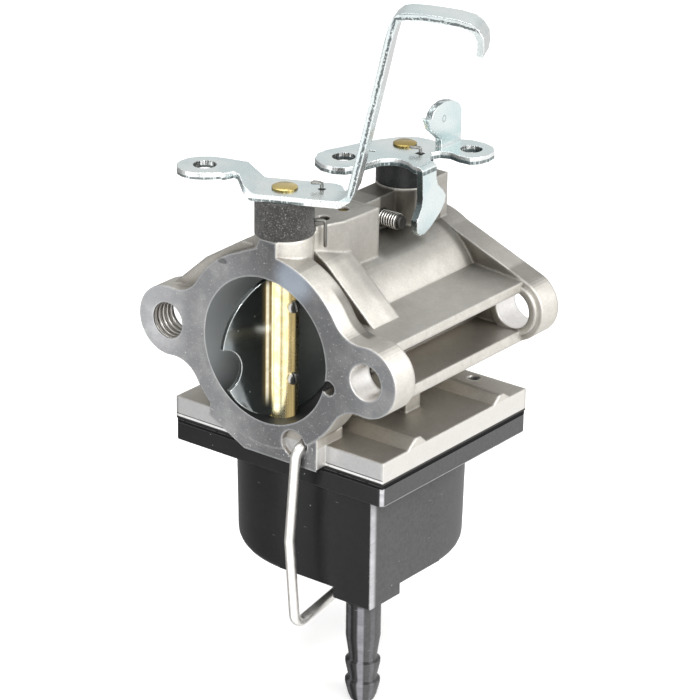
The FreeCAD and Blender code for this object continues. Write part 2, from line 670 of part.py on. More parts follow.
def other_face(face, thick):
    """The points of a bent strip's other face, offset square to the first."""
    points = []
    for i, (x, z) in enumerate(face):
        before, after = face[max(i - 1, 0)], face[min(i + 1, len(face) - 1)]
        run_x, run_z = after[0] - before[0], after[1] - before[1]
        run = math.hypot(run_x, run_z)
        points.append((x + thick * run_z / run, z - thick * run_x / run))
    return points


body = new_part("choke_lever", (0, dim.choke_axis_pos, 0),
                Rotation(Vector(0, 0, 1), dim.choke_lever_angle.value))
pad(body, "choke_low_plate", dim.lever_thick, offset=choke_shoulder, points=CHOKE_LOW_PLATE)
round_edges(body, vertical_at([(9.4, lever_half.value), (11.0, 4.4)]), 1.8)
pad(body, "choke_joggle", 11.2, plane="XZ", offset=-6.0, points=CHOKE_JOGGLE)
for name, outline in (("a", JOGGLE_TRIM_A), ("b", JOGGLE_TRIM_B)):
    pocket(body, "choke_joggle_trim_" + name, 10.0, up=True, offset=LEVER_CUT_FROM,
           points=outline)
pad(body, "choke_raised_plate", dim.lever_thick, offset=raised_under,
    points=CHOKE_RAISED_PLATE)
for name, hole, length in (("choke_link_hole", (-17.2, 1.4, 2.4), 10.0),
                           ("choke_stake_hole", (0, 0, dim.neck_rad), 5.0),
                           ("choke_spring_hole", (*CHOKE_SPRING_HOLE, 0.85), 5.0)):
    pocket(body, name, length, up=True, offset=LEVER_CUT_FROM, circles=[hole])
pad(body, "choke_arm", dim.arm_width, down=True, plane="XZ", offset=-dim.arm_front,
    points=CHOKE_ARM + other_face(CHOKE_ARM, dim.lever_thick.value)[::-1])


def felt_ring(label, axis_pos, rad, top):
    """Ring standing on a shaft boss."""
    ring = new_part(label, (0, axis_pos, 0))
    turned(ring, label + "_profile", [(dim.seal_bore_rad, dim.boss_top), (rad, dim.boss_top),
                                      (rad, top), (dim.seal_bore_rad, top)])
    return ring


# felt ring under the choke lever, slotted for the two legs of the spring
body = felt_ring("choke_seal", dim.choke_axis_pos, dim.seal_rad, dim.choke_seal_top)
pocket(body, "choke_seal_slot", 1.5, up=True, offset=26.4,
       points=[(3.2, 0.9), (7.7, 3.9), (6.5, 6.0), (2.2, 3.3)])
pocket(body, "choke_seal_top_slot", 1.5, up=True, offset=31.3,
       points=[(1.61, 2.05), (2.47, 0.83), (7.94, 4.71), (7.08, 5.93)])

# ==================================================================== throttle
PLATE_SCREW_HOLE = (0, 0, 1.3)
throttle_shoulder = dim.throttle_lever_top - dim.throttle_lever_thick
throttle_turn = Rotation(Vector(0, 0, 1), dim.throttle_rest_angle.value)

body = slotted_shaft("throttle_shaft", dim.throttle_axis_pos, dim.throttle_blind_end + 0.1,
                     throttle_shoulder, dim.throttle_lever_top, dim.throttle_plate_rad,
                     dim.throttle_head_rad, dim.throttle_rest_angle.value)
pocket(body, "plate_screw_hole", 8.0, mid=True, plane="XZ", circles=[PLATE_SCREW_HOLE])

body = new_part("throttle_plate", (0, dim.throttle_axis_pos, 0), throttle_turn)
pad(body, "throttle_disc", dim.plate_steel_thick, mid=True, plane="XZ",
    circles=[(0, 0, dim.throttle_plate_rad), PLATE_SCREW_HOLE])

# screw square to the throttle plate
body = new_part("throttle_plate_screw", (0, dim.throttle_axis_pos, 0),
                throttle_turn * Rotation(Vector(1, 0, 0), 90))
turned(body, "plate_screw_profile", [
    (0, -2.9), (1.1, -2.9), (1.28, -2.6), (1.28, 3.2), (2.1, 3.2), (2.1, 4.0), (1.6, 4.5),
    (0, 4.5)])
pocket(body, "plate_screw_slot", 0.6, offset=4.5, points=centred(3, 0.3))

# throttle lever, drawn in the carburetor's frame
THROTTLE_ARM_RIGHT = 10.4
THROTTLE_TAB_RIGHT = 5.6
# x, y
THROTTLE_LEVER = [
    (-10.7, 30.8), (-10.6, 33.6), (-9.0, 37.9), (-7.7, 42.2), (-6.0, 46.2), (-3.6, 50.2),
    (-0.6, 52.4), (2.6, 52.9), (5.3, 52.35), (6.0, 55.0), (7.0, 57.1), (9.4, 58.3),
    (12.6, 58.5), (15.4, 57.6), (17.2, 55.6), (17.6, 53.0), (17.0, 50.4), (15.7, 48.9),
    (13.0, 48.7), (10.25, 49.2), (8.3, 48.3), (7.4, 46.4), (8.6, 44.4), (10.4, 42.2),
    (10.4, 37.3), (9.5, 37.3), (7.2, 38.6), (4.8, 38.9), (2.9, 38.0), (1.55, 36.25),
    (0.9, 33.0), (0.3, 29.6), (-0.7, 27.4), (-3.0, 26.1), (-6.2, 26.1), (-9.2, 27.8)]
# y, z
THROTTLE_ARM = [
    (37.3, dim.throttle_lever_top), (37.6, 25.3), (37.3, 23.6), (35.7, 20.9), (35.8, 18.6),
    (36.8, 17.45), (38.4, 17.4), (40.3, 18.2), (43.7, 20.6), (45.4, 22.6), (45.7, 24.05),
    (44.6, 25.6), (42.8, 27.2), (42.2, 29.0), (42.2, dim.throttle_lever_top)]
THROTTLE_TAB = [
    (50.4, throttle_shoulder), (50.2, 34.0), (48.0, 35.9), (46.6, 37.0), (45.9, 38.6),
    (45.2, 39.9), (46.6, 39.5), (47.2, 40.7), (48.8, 41.8), (51.2, 42.3), (54.0, 41.9),
    (56.2, 40.7), (57.2, 39.2), (57.2, throttle_shoulder)]
# x, y
THROTTLE_TAB_WEB = [(3.0, 50.4), (9.0, 50.4), (9.0, 57.2), (5.6, 57.2), (5.6, 53.5),
                    (3.0, 52.0)]
LEVER_SMALL_SLOT = [(-3.4, 38.6), (-2.0, 39.1), (-2.2, 39.8), (-3.6, 39.3)]


def arm_outer_top(edge):
    """The edge where the arm's right face meets the top of the lever."""
    face_x = THROTTLE_ARM_RIGHT + dim.throttle_lever_thick.value
    top = dim.throttle_lever_top.value
    return all(abs(point.x - face_x) < 0.01 and abs(point.z - top) < 0.01
               for point in ends(edge))


body = new_part("throttle_lever")
pad(body, "throttle_lever_outline", dim.throttle_lever_thick, offset=throttle_shoulder,
    points=THROTTLE_LEVER)
pad(body, "throttle_arm", dim.throttle_lever_thick, plane="YZ", offset=THROTTLE_ARM_RIGHT,
    points=THROTTLE_ARM)
round_edges(body, arm_outer_top, 1.2)
pad(body, "throttle_tab", dim.throttle_lever_thick, plane="YZ", offset=THROTTLE_TAB_RIGHT,
    points=THROTTLE_TAB)
pad(body, "throttle_tab_web", dim.throttle_lever_thick, offset=throttle_shoulder,
    points=THROTTLE_TAB_WEB)
for name, hole in (("link_hole_left", (-5.2, 32.6, 2.45)),
                   ("link_hole_right", (12.6, 53.6, 2.3)),
                   ("lever_stake_hole", (0, dim.throttle_axis_pos, dim.neck_rad))):
    pocket(body, name, 4.0, up=True, offset=LEVER_CUT_FROM, circles=[hole])
for name, outline in (("lever_spring_slot", rectangle((5.0, 6.8), (43.6, 45.4))),
                      ("lever_small_slot", LEVER_SMALL_SLOT)):
    pocket(body, name, 4.0, up=True, offset=LEVER_CUT_FROM, points=outline)

body = felt_ring("throttle_seal", dim.throttle_axis_pos, dim.throttle_seal_rad,
                 dim.throttle_seal_top)
pocket(body, "throttle_seal_slot", 1.5, up=True, offset=26.0,
       points=rectangle((-2.7, -0.2), (3.0, 7.5)))


# ======================================================================= wires
def sweep(edges, rad):
    """Round wire along joined edges."""
    path = Part.Wire(edges)
    first = path.Edges[0]
    start = first.valueAt(first.FirstParameter)
    direction = first.tangentAt(first.FirstParameter)
    ring = Part.Wire([Part.Circle(start, direction, rad).toShape()])
    return path.makePipeShell([ring], True, True)


def bent_wire(points, rad, bend):
    """Wire along a polyline whose corners are rounded to the bend radius."""
    points = [Vector(*point) for point in points]
    edges = []
    previous = points[0]
    for before, corner, after in zip(points, points[1:], points[2:]):
        back = (before - corner).normalize()
        ahead = (after - corner).normalize()
        angle = back.getAngle(ahead)
        if angle > math.pi - 0.02:
            continue    # nearly straight: the point is passed over
        arc_rad = bend
        setback = arc_rad / math.tan(angle / 2.0)
        limit = 0.49 * min((before - corner).Length, (after - corner).Length)
        if setback > limit:
            setback = limit
            arc_rad = setback * math.tan(angle / 2.0)
        arc_start, arc_end = corner + back * setback, corner + ahead * setback
        inward = (back + ahead).normalize()
        centre = corner + inward * math.hypot(arc_rad, setback)
        edges.append(Part.LineSegment(previous, arc_start).toShape())
        edges.append(Part.Arc(arc_start, centre - inward * arc_rad, arc_end).toShape())
        previous = arc_end
    edges.append(Part.LineSegment(previous, points[-1]).toShape())
    return sweep(edges, rad)


def spline_wire(points, rad):
    """Wire along a smooth curve through the points."""
    curve = Part.BSplineCurve()
    curve.interpolate([Vector(*point) for point in points])
    return sweep([curve.toShape()], rad)


def around(rad, angle, z):
    """Point at a radius and angle (radians) about Z."""
    return rad * math.cos(angle), rad * math.sin(angle), z


def coil(rad, low, high, turns, start_angle):
    """Points of a helix about Z, 16 to the turn."""
    count = int(turns * 16)
    return [around(rad, start_angle + 2 * math.pi * turns * k / count,
                   low + (high - low) * k / count) for k in range(count + 1)]


def feature(label, shape, pos, turn=None):
    obj = doc.addObject("Part::Feature", label)
    obj.Shape = shape
    obj.Placement = Placement(Vector(*pos), turn or Rotation())
    keep(obj, label)


# bail wire: two bent-in ends, two legs and a V-shaped run under the bowl,
# drawn about its own pivot axis and placed on it
BAIL_BEND = 2.3
BAIL_LEG = [(-0.9, 0, -12.5), (-1.5, 0.1, -21.5), (-0.9, 0.1, -28.5)]    # x, outward y, z
BAIL_RUN_X = 0.1
front, back = dim.bail_front.value, dim.bail_back.value
pivot_up = dim.bail_axis_up.value
low, apex = dim.bail_low.value - pivot_up, dim.bail_apex.value - pivot_up
bail_points = ([(0, 3.6, 0), (0, front, 0)]
               + [(x, front - out, z) for x, out, z in BAIL_LEG]
               + [(BAIL_RUN_X, front, low), (BAIL_RUN_X, dim.bowl_axis_pos.value, apex),
                  (BAIL_RUN_X, back, low)]
               + [(x, back + out, z) for x, out, z in BAIL_LEG[::-1]]
               + [(0, back, 0), (0, 51.2, 0)])
feature("bail_wire", bent_wire(bail_points, dim.wire_rad.value, BAIL_BEND),
        (dim.bail_axis_right.value, 0, pivot_up))


def return_spring(label, axis_pos, rad, full_turns, low_angle, coil_span,
                  foot, foot_top, foot_join, hook, hook_span, hook_tip):
    """Coil about a shaft axis with a lower leg and a hooked upper leg.

    foot is the lower end of the upright lower leg, foot_join the (radius, angle)
    where that leg meets the coil, hook the (x, y) of the upright in the lever and
    hook_tip the run of the last bend from it.
    """
    hook_x, hook_y = hook
    hook_low, hook_high = hook_span
    high_angle = math.atan2(hook_y, hook_x)
    turns = full_turns + ((high_angle - low_angle) % (2 * math.pi)) / (2 * math.pi)
    helix = coil(4.1, *coil_span, turns, low_angle)
    foot_x, foot_y, _ = foot
    lower = bent_wire([foot, (foot_x, foot_y, foot_top), around(*foot_join, foot_top)],
                      rad, 0.8)
    spring_coil = spline_wire(helix, rad)
    upper = bent_wire([around(4.0, high_angle, hook_low), (hook_x, hook_y, hook_low),
                       (hook_x, hook_y, hook_high),
                       (hook_x + hook_tip[0], hook_y + hook_tip[1], hook_high)], rad, 0.7)
    end_x, end_y, _ = helix[-1]
    riser = bent_wire([helix[-1], (end_x, end_y, hook_low + 0.1)], rad, 0.1)
    shape = lower.fuse([spring_coil, riser, upper]).removeSplitter()
    feature(label, shape, (0, axis_pos.value, 0))


# choke spring: coil inside the felt ring, lower leg on the top block, upper leg
# hooked through the hole in the turned lever
lever_turn = math.radians(dim.choke_lever_angle.value)
hole_x, hole_y = CHOKE_SPRING_HOLE
choke_low_angle = math.atan2(4.6, 6.9)
return_spring(
    "choke_spring", dim.choke_axis_pos, rad=0.38, full_turns=3.0,
    low_angle=choke_low_angle, coil_span=(27.2, 31.0),
    foot=(6.75, 4.95, 21.6), foot_top=27.15, foot_join=(4.3, choke_low_angle - 0.05),
    hook=(math.cos(lever_turn) * hole_x - math.sin(lever_turn) * hole_y,
          math.sin(lever_turn) * hole_x + math.cos(lever_turn) * hole_y),
    hook_span=(31.85, 34.75), hook_tip=(-0.2, -2.3))

# throttle spring: the same arrangement, its lower leg on the +Y side of the boss
throttle_low_angle = math.radians(105.0)
return_spring(
    "throttle_spring", dim.throttle_axis_pos, rad=0.36, full_turns=2.0,
    low_angle=throttle_low_angle, coil_span=(26.75, 29.6),
    foot=(-1.75, 6.75, 22.4), foot_top=26.75, foot_join=(4.2, throttle_low_angle),
    hook=(5.9, 44.6 - dim.throttle_axis_pos.value),
    hook_span=(30.2, 33.0), hook_tip=(-2.4, 0.3))

# ============================================================ idle speed screw
# drawn along its own Z axis and placed so that Z points along +X
screw_end = dim.idle_tip - dim.idle_head_start
root = dim.idle_root_rad
pitch = dim.idle_pitch.value
thread_start = dim.idle_head_thick.value + 6.0
thread_count = int((screw_end.value - 0.35 - thread_start) / pitch)
profile = [(0, 0), (dim.idle_head_rad - 0.5, 0), (dim.idle_head_rad, 0.5),
           (dim.idle_head_rad, dim.idle_head_thick), (root, dim.idle_head_thick)]
for k in range(thread_count):
    ridge = thread_start + k * pitch
    profile += [(root, ridge), (dim.idle_rad, ridge + 0.27), (dim.idle_rad, ridge + 0.38)]
profile += [(root, thread_start + thread_count * pitch), (root, screw_end - 0.15),
            (root - 0.15, screw_end), (0, screw_end)]
body = new_part("idle_speed_screw", (dim.idle_head_start, dim.idle_pos, dim.idle_up), ALONG_X)
turned(body, "idle_screw_profile", profile)
pocket(body, "idle_screw_slot", 1.1, up=True, offset=0.0, points=centred(5, 0.45))

# its spring, between the screw head and the left face of the bridge
IDLE_SPRING_INSET = 0.42
spring_start = dim.idle_head_start.value + dim.idle_head_thick.value
spring_end = dim.bridge_left.value - spring_start - IDLE_SPRING_INSET
feature("idle_screw_spring",
        spline_wire(coil(2.55, IDLE_SPRING_INSET, spring_end, 5.5, 0.0), 0.38),
        (spring_start, dim.idle_pos.value, dim.idle_up.value), ALONG_X)

# ============================================================= gasket and bowl
GASKET_INSET = 0.15
bowl_x, bowl_y = dim.bowl_axis_right, dim.bowl_axis_pos
bowl_inner_rad = dim.bowl_rad_top - dim.bowl_wall

body = new_part("bowl_gasket")
pad(body, "gasket_outline", dim.gasket_thick, down=True, offset=dim.plate_under,
    points=rectangle((dim.plate_left + GASKET_INSET, dim.plate_right - GASKET_INSET),
                     (dim.plate_front + GASKET_INSET, dim.plate_rear - GASKET_INSET)),
    circles=[(bowl_x, bowl_y, bowl_inner_rad),
             (dim.barb_axis_right, dim.barb_axis_pos, 2.5)])

# bowl shell, drawn about the bowl axis
flange_top = dim.plate_under - dim.gasket_thick
flange_under = flange_top - dim.bowl_flange_thick
flange_x = (dim.plate_left - dim.bowl_flange_over - bowl_x, dim.plate_right - bowl_x)
flange_y = (dim.plate_front - bowl_y, dim.plate_rear + dim.bowl_flange_over - bowl_y)
corner_x, corner_y = dim.corner_right - bowl_x, dim.corner_front - bowl_y

shell = new_body("float_bowl", (bowl_x, bowl_y, 0))
shell.Label = "float_bowl_shell"    # the drilled bowl takes the label float_bowl
pad(shell, "bowl_flange", dim.bowl_flange_thick, down=True, offset=flange_top,
    points=rectangle(flange_x, flange_y))
round_edges(shell, vertical_at([(x.value, y.value) for x in flange_x for y in flange_y]),
            dim.plate_corner)

fillet = dim.bowl_fillet.value
fillet_angles = [math.radians(angle) for angle in (15, 30, 45, 60, 75)]
fillet_points = [(dim.bowl_rad_low.value - fillet + fillet * math.cos(angle),
                  dim.bowl_floor.value + fillet - fillet * math.sin(angle))
                 for angle in fillet_angles]
turned(shell, "bowl_outside",
       [(0, flange_top - 1), (dim.bowl_rad_top, flange_top - 1),
        (dim.bowl_rad_low, dim.bowl_floor + dim.bowl_fillet)] + fillet_points
       + [(dim.bowl_rad_low - dim.bowl_fillet, dim.bowl_floor), (0, dim.bowl_floor)])

# square corner column over the barb, and the foot under it
corner_start = flange_under + 1
pad(shell, "bowl_corner", corner_start - dim.corner_under, down=True, offset=corner_start,
    points=rectangle((0, corner_x), (corner_y, 0)))
foot_start = dim.corner_under + 1
pad(shell, "bowl_foot", foot_start - dim.foot_under, down=True, offset=foot_start,
    points=rectangle((15.2 - bowl_x, corner_x), (corner_y, 14.8 - bowl_y)))

# shallow groove under the floor: its roof follows the swing of the bail wire
GROOVE_STEPS = (5.4, 4.0, 2.6, 1.2, 0.0, -1.2, -2.6, -4.0, -5.6, -7.2, -8.9)   # x from pivot
pivot_x = dim.bail_axis_right - bowl_x
swing = pivot_up - dim.bail_apex.value - dim.wire_rad.value - 0.06
groove_roof = [(pivot_x + step, pivot_up - math.sqrt(swing ** 2 - step ** 2))
               for step in GROOVE_STEPS]
pocket(shell, "bail_groove", 11.0, mid=True, plane="XZ", offset=0.0,
       points=[(pivot_x + GROOVE_STEPS[-1], dim.bowl_floor - 2.0),
               (pivot_x + GROOVE_STEPS[0], dim.bowl_floor - 2.0)] + groove_roof)

inner_low_rad = dim.bowl_rad_low - dim.bowl_wall
turned(shell, "bowl_inside", [
    (0, flange_top + 1), (bowl_inner_rad, flange_top + 1), (bowl_inner_rad, flange_top),
    (inner_low_rad, dim.bowl_inner_floor + 2.4),
    (inner_low_rad - 0.6, dim.bowl_inner_floor + 1.3),
    (inner_low_rad - 2.0, dim.bowl_inner_floor), (0, dim.bowl_inner_floor)], groove=True)

# the barb is one moulding with the bowl; the passage runs up through both
barb_end, neck, ring_rad = dim.barb_end, dim.barb_neck_rad, dim.barb_ring_rad
stem = new_body("barb_stem", (dim.barb_axis_right, dim.barb_axis_pos, 0))
turned(stem, "barb_profile", [
    (0, dim.foot_under + 1.5), (dim.barb_tube_rad, dim.foot_under + 1.5),
    (dim.barb_tube_rad, barb_end + 15.0), (neck, barb_end + 10.6), (neck, barb_end + 9.8),
    (ring_rad, barb_end + 9.3), (ring_rad, barb_end + 8.6), (neck + 0.05, barb_end + 5.7),
    (neck + 0.05, barb_end + 5.1), (ring_rad, barb_end + 4.6), (ring_rad, barb_end + 3.9),
    (neck, barb_end + 1.2), (neck - 0.5, barb_end), (0, barb_end)])
passage = cylinder("fuel_passage", dim.fuel_passage_rad, 60.0,
                   (dim.barb_axis_right, dim.barb_axis_pos, barb_end - 1))
keep(cut("float_bowl_drilled", fuse("float_bowl_joined", [shell, stem]), passage),
     "float_bowl")

# seal ring round the fuel port
body = new_part("fuel_port_seal", (dim.barb_axis_right, dim.barb_axis_pos, 0))
turned(body, "fuel_seal_profile", [
    (dim.fuel_passage_rad, flange_top), (2.45, flange_top), (2.45, dim.plate_under + 0.7),
    (dim.fuel_passage_rad, dim.plate_under + 0.7)])

# ====================================================== float, needle and seat
FLOAT_TONGUE_X = (-2.6, 2.6)
tongue_front = dim.hinge_pos - 1.7
ears_start = dim.float_top - 0.5

body = new_part("bowl_float")
pad(body, "float_ring", dim.float_top - dim.float_under, down=True, offset=dim.float_top,
    circles=[(0, dim.bowl_axis_pos, dim.float_rad),
             (0, dim.nozzle_pos + 1.8, dim.float_hole_rad)])
# only the two outer rims are this long
round_edges(body, lambda edge: edge.Length > 100, 1.6)
pad(body, "float_tongue", 1.6, down=True, offset=dim.float_top,
    points=rectangle(FLOAT_TONGUE_X, (tongue_front, 19.0)))
pad(body, "float_hinge_ears", dim.hinge_up + 1.6 - ears_start, offset=ears_start,
    points=rectangle(FLOAT_TONGUE_X, (tongue_front, dim.hinge_pos + 1.45)))
pocket(body, "float_hinge_bore", 12.0, mid=True, plane="YZ",
       circles=[(dim.hinge_pos, dim.hinge_up, dim.hinge_pin_rad + dim.run_clear)])

PIN_HALF = 6.4
body = new_part("float_hinge_pin", (-PIN_HALF, dim.hinge_pos, dim.hinge_up), ALONG_X)
pad(body, "hinge_pin_section", 2 * PIN_HALF, circles=[(0, 0, dim.hinge_pin_rad)])

seat_face = dim.plate_under
body = new_part("inlet_seat", (0, dim.needle_pos, 0))
turned(body, "seat_profile", [
    (1.0, seat_face + 2.9), (2.5, seat_face + 2.9), (2.5, seat_face - 1.9),
    (1.56, seat_face - 1.9), (1.56, seat_face + 0.9), (1.0, seat_face + 1.7)])

# the needle stands just above the top of the float
needle_foot = dim.float_top + 0.02
body = new_part("inlet_needle", (0, dim.needle_pos, 0))
turned(body, "needle_profile", [
    (0, seat_face + 2.2), (0.5, seat_face + 2.0), (0.96, seat_face + 1.5),
    (1.46, seat_face + 0.7), (1.46, seat_face - 4.2), (0.9, seat_face - 4.7),
    (0.9, seat_face - 5.4), (1.3, seat_face - 5.9), (0.6, needle_foot), (0, needle_foot)])

# ============================================================= nozzle and jets
NOZZLE_BORE_RAD = 1.5
CROSS_HOLE_HEIGHTS = (-15.0, -18.5, -22.0, -27.5, -31.5, -35.5)
nozzle_rad, nozzle_low = dim.nozzle_rad, dim.nozzle_low
body = new_part("main_nozzle", (0, dim.nozzle_pos, 0))
turned(body, "nozzle_profile", [
    (NOZZLE_BORE_RAD, nozzle_low), (nozzle_rad + 1.0, nozzle_low),
    (nozzle_rad + 1.0, nozzle_low + 4), (nozzle_rad, nozzle_low + 5), (nozzle_rad, -11.0),
    (nozzle_rad - 0.7, -10.0), (nozzle_rad - 0.7, dim.nozzle_top),
    (NOZZLE_BORE_RAD, dim.nozzle_top)])
# cross holes, alternately along X and along Y
for k, height in enumerate(CROSS_HOLE_HEIGHTS):
    pocket(body, "nozzle_cross_%d" % k, 12.0, mid=True, plane="XZ" if k % 2 else "YZ",
           circles=[(0, height, 0.45)])

jet_under, jet_top = nozzle_low - 1.4, nozzle_low + 3.6
body = new_part("main_jet", (0, dim.nozzle_pos, 0))
turned(body, "jet_profile", [
    (0.35, jet_under), (2.4, jet_under), (2.4, nozzle_low), (1.48, nozzle_low),
    (1.48, jet_top), (0.35, jet_top)])
pocket(body, "jet_slot", 0.6, up=True, offset=jet_under, points=centred(3, 0.3))

idle_jet_under, idle_jet_top = dim.block_top - 8.0, dim.block_top - 0.5
body = new_part("idle_jet", (3.0, 22.0, 0))
turned(body, "idle_jet_profile", [(0.3, idle_jet_under), (1.25, idle_jet_under),
                                  (1.25, idle_jet_top), (0.3, idle_jet_top)])
pocket(body, "idle_jet_slot", 0.6, offset=idle_jet_top, points=centred(2, 0.25))

# plug with a shallow dish in its top
plug_under, dish_floor = dim.block_top - 2.6, dim.block_top - 1.6
body = new_part("idle_passage_plug", (3.0, 15.2, 0))
turned(body, "plug_profile", [(0, plug_under), (1.49, plug_under),
                              (1.49, dim.block_top - 1.9), (0.6, dish_floor),
                              (0, dish_floor)])

# =========================================================== checks and export
doc.recompute()
problems = []
for obj in doc.Objects:
    if "Invalid" in obj.State or "Error" in obj.State:
        problems.append("%s is %s" % (obj.Label, obj.State))
for obj in PARTS:
    if obj.Shape.isNull():
        problems.append(obj.Label + " has a null shape")
    elif not obj.Shape.isValid():
        problems.append(obj.Label + " is not valid")
    elif not obj.Shape.Solids:
        problems.append(obj.Label + " has no solid")
if problems:
    raise RuntimeError("; ".join(problems))
for obj in PARTS:
    obj.Shape.exportStep(os.path.join("parts", obj.Label + ".step"))
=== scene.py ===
"""Looks for a small-engine carburettor: a blasted casting with zinc levers, brass shafts,
a moulded bowl and wire springs, on a pale floor.

Frame: +Z is up. The bore runs along Y, with the intake flange at the front (y = 0) and the
rear face at y = 58 mm. +X is to the right when looking in at the intake. Blender's own
lengths are metres; the material graphs and the wire pieces work in millimetres.
"""
import math
import random
from functools import cached_property, reduce

import bmesh
import bpy
from mathutils import Matrix, Vector


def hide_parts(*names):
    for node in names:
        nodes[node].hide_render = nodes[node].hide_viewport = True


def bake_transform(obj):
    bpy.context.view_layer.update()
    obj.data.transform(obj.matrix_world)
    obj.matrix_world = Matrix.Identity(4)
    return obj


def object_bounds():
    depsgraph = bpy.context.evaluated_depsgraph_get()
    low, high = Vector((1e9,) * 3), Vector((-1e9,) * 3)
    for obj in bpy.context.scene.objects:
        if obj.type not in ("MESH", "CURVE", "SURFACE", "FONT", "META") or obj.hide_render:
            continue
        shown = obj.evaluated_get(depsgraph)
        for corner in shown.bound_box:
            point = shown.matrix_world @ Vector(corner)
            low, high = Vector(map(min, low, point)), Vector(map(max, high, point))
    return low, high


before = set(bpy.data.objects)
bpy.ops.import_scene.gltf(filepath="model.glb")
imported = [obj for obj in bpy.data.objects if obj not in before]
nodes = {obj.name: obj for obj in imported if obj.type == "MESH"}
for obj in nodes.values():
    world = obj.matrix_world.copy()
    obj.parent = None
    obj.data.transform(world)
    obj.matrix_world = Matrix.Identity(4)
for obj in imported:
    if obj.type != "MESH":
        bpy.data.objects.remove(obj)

BOX_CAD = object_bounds()
scene = bpy.context.scene
random.seed(7)

MM_PER_M = 1000.0
CHOKE_Y = 6.3            # the choke shaft stands here, at x = 0
THROTTLE_Y = 47.0        # and the throttle shaft here
EAR_X = 26.16            # the flange's two bolt holes lie this far either side of the bore


# ------------------------------------------------------------------ shader graph helpers
class Value:
    """An output socket of a shader graph. Arithmetic on it adds Math nodes."""

    def __init__(self, socket):
        self.socket = socket

    def __add__(self, other):
        return calc("ADD", self, other)

    def __radd__(self, other):
        return calc("ADD", other, self)

    def __sub__(self, other):
        return calc("SUBTRACT", self, other)

    def __rsub__(self, other):
        return calc("SUBTRACT", other, self)

    def __mul__(self, other):
        return calc("MULTIPLY", self, other)

    def __abs__(self):
        return calc("ABSOLUTE", self)

    def ramp(self, start, end, low, high, curve="LINEAR"):
        """Goes from low to high as the value goes from start to end, and is held beyond."""
        inputs = dict(enumerate((self, start, end, low, high)))
        return out(node(self.socket.id_data, "MapRange", inputs, interpolation_type=curve))

    def step(self, start, end, low=0.0, high=1.0):
        """A smooth ramp. The start may lie above the end."""
        if start > end:
            start, end, low, high = end, start, high, low
        return self.ramp(start, end, low, high, "SMOOTHSTEP")

    def band(self, start, end, soft=0.08):
        """1 between start and end, fading to 0 over the soft width outside them."""
        return self.step(start - soft, start) * self.step(end + soft, end)

    def vary(self, low, high):
        """Spreads the middle of a noise from low to high."""
        return self.ramp(0.3, 0.7, low, high)


def feed(socket, value):
    if isinstance(value, Value):
        socket.id_data.links.new(value.socket, socket)
        return
    if hasattr(value, "__len__") and len(value) == 3 and len(socket.default_value) == 4:
        value = tuple(value) + (1.0,)
    socket.default_value = value


def node(tree, kind, inputs={}, **settings):
    made = tree.nodes.new("ShaderNode" + kind)
    for name, setting in settings.items():
        setattr(made, name, setting)
    for key, value in inputs.items():
        feed(made.inputs[key], value)
    return made


def out(made, key=0):
    return Value(made.outputs[key])


def tree_of(values):
    return next(value.socket.id_data for value in values if isinstance(value, Value))


def calc(operation, *operands):
    return out(node(tree_of(operands), "Math", dict(enumerate(operands)), operation=operation))


def vector_calc(operation, *operands):
    made = node(tree_of(operands), "VectorMath", dict(enumerate(operands)), operation=operation)
    return out(made, "Value" if operation in ("DOT_PRODUCT", "LENGTH") else 0)


def vec(*parts):
    return out(node(tree_of(parts), "CombineXYZ", dict(enumerate(parts))))


def split(vector):
    made = node(tree_of([vector]), "SeparateXYZ", {0: vector})
    return out(made, 0), out(made, 1), out(made, 2)


def length(*parts):
    return vector_calc("LENGTH", vec(*parts))


def least(first, second):
    return calc("MINIMUM", first, second)


def most(*values):
    return reduce(lambda first, second: calc("MAXIMUM", first, second), values)


def noise_at(vector, scale, detail, rough, warp=0.0):
    inputs = {"Vector": vector, "Scale": scale, "Detail": detail, "Roughness": rough,
              "Distortion": warp}
    return out(node(tree_of([vector]), "TexNoise", inputs))


def mix(mask, under, over):
    inputs = {0: mask, 6: under, 7: over}
    return out(node(tree_of([mask]), "Mix", inputs, data_type="RGBA"), 2)


def blend(mask, under, over):
    """Mixes two numbers."""
    return out(node(tree_of([mask]), "Mix", {0: mask, 2: under, 3: over}))


def paint(colour, *coats):
    """Lays each (mask, colour) coat over what is below it."""
    for mask, coat in coats:
        colour = mix(mask, colour, coat)
    return colour


def dim(colour, factor):
    return vector_calc("MULTIPLY", colour, vec(factor, factor, factor))


def tint(colour, pattern, amount):
    """The colour scaled by 1 + amount * (pattern - 0.5)."""
    return dim(colour, 1.0 + (pattern - 0.5) * amount)


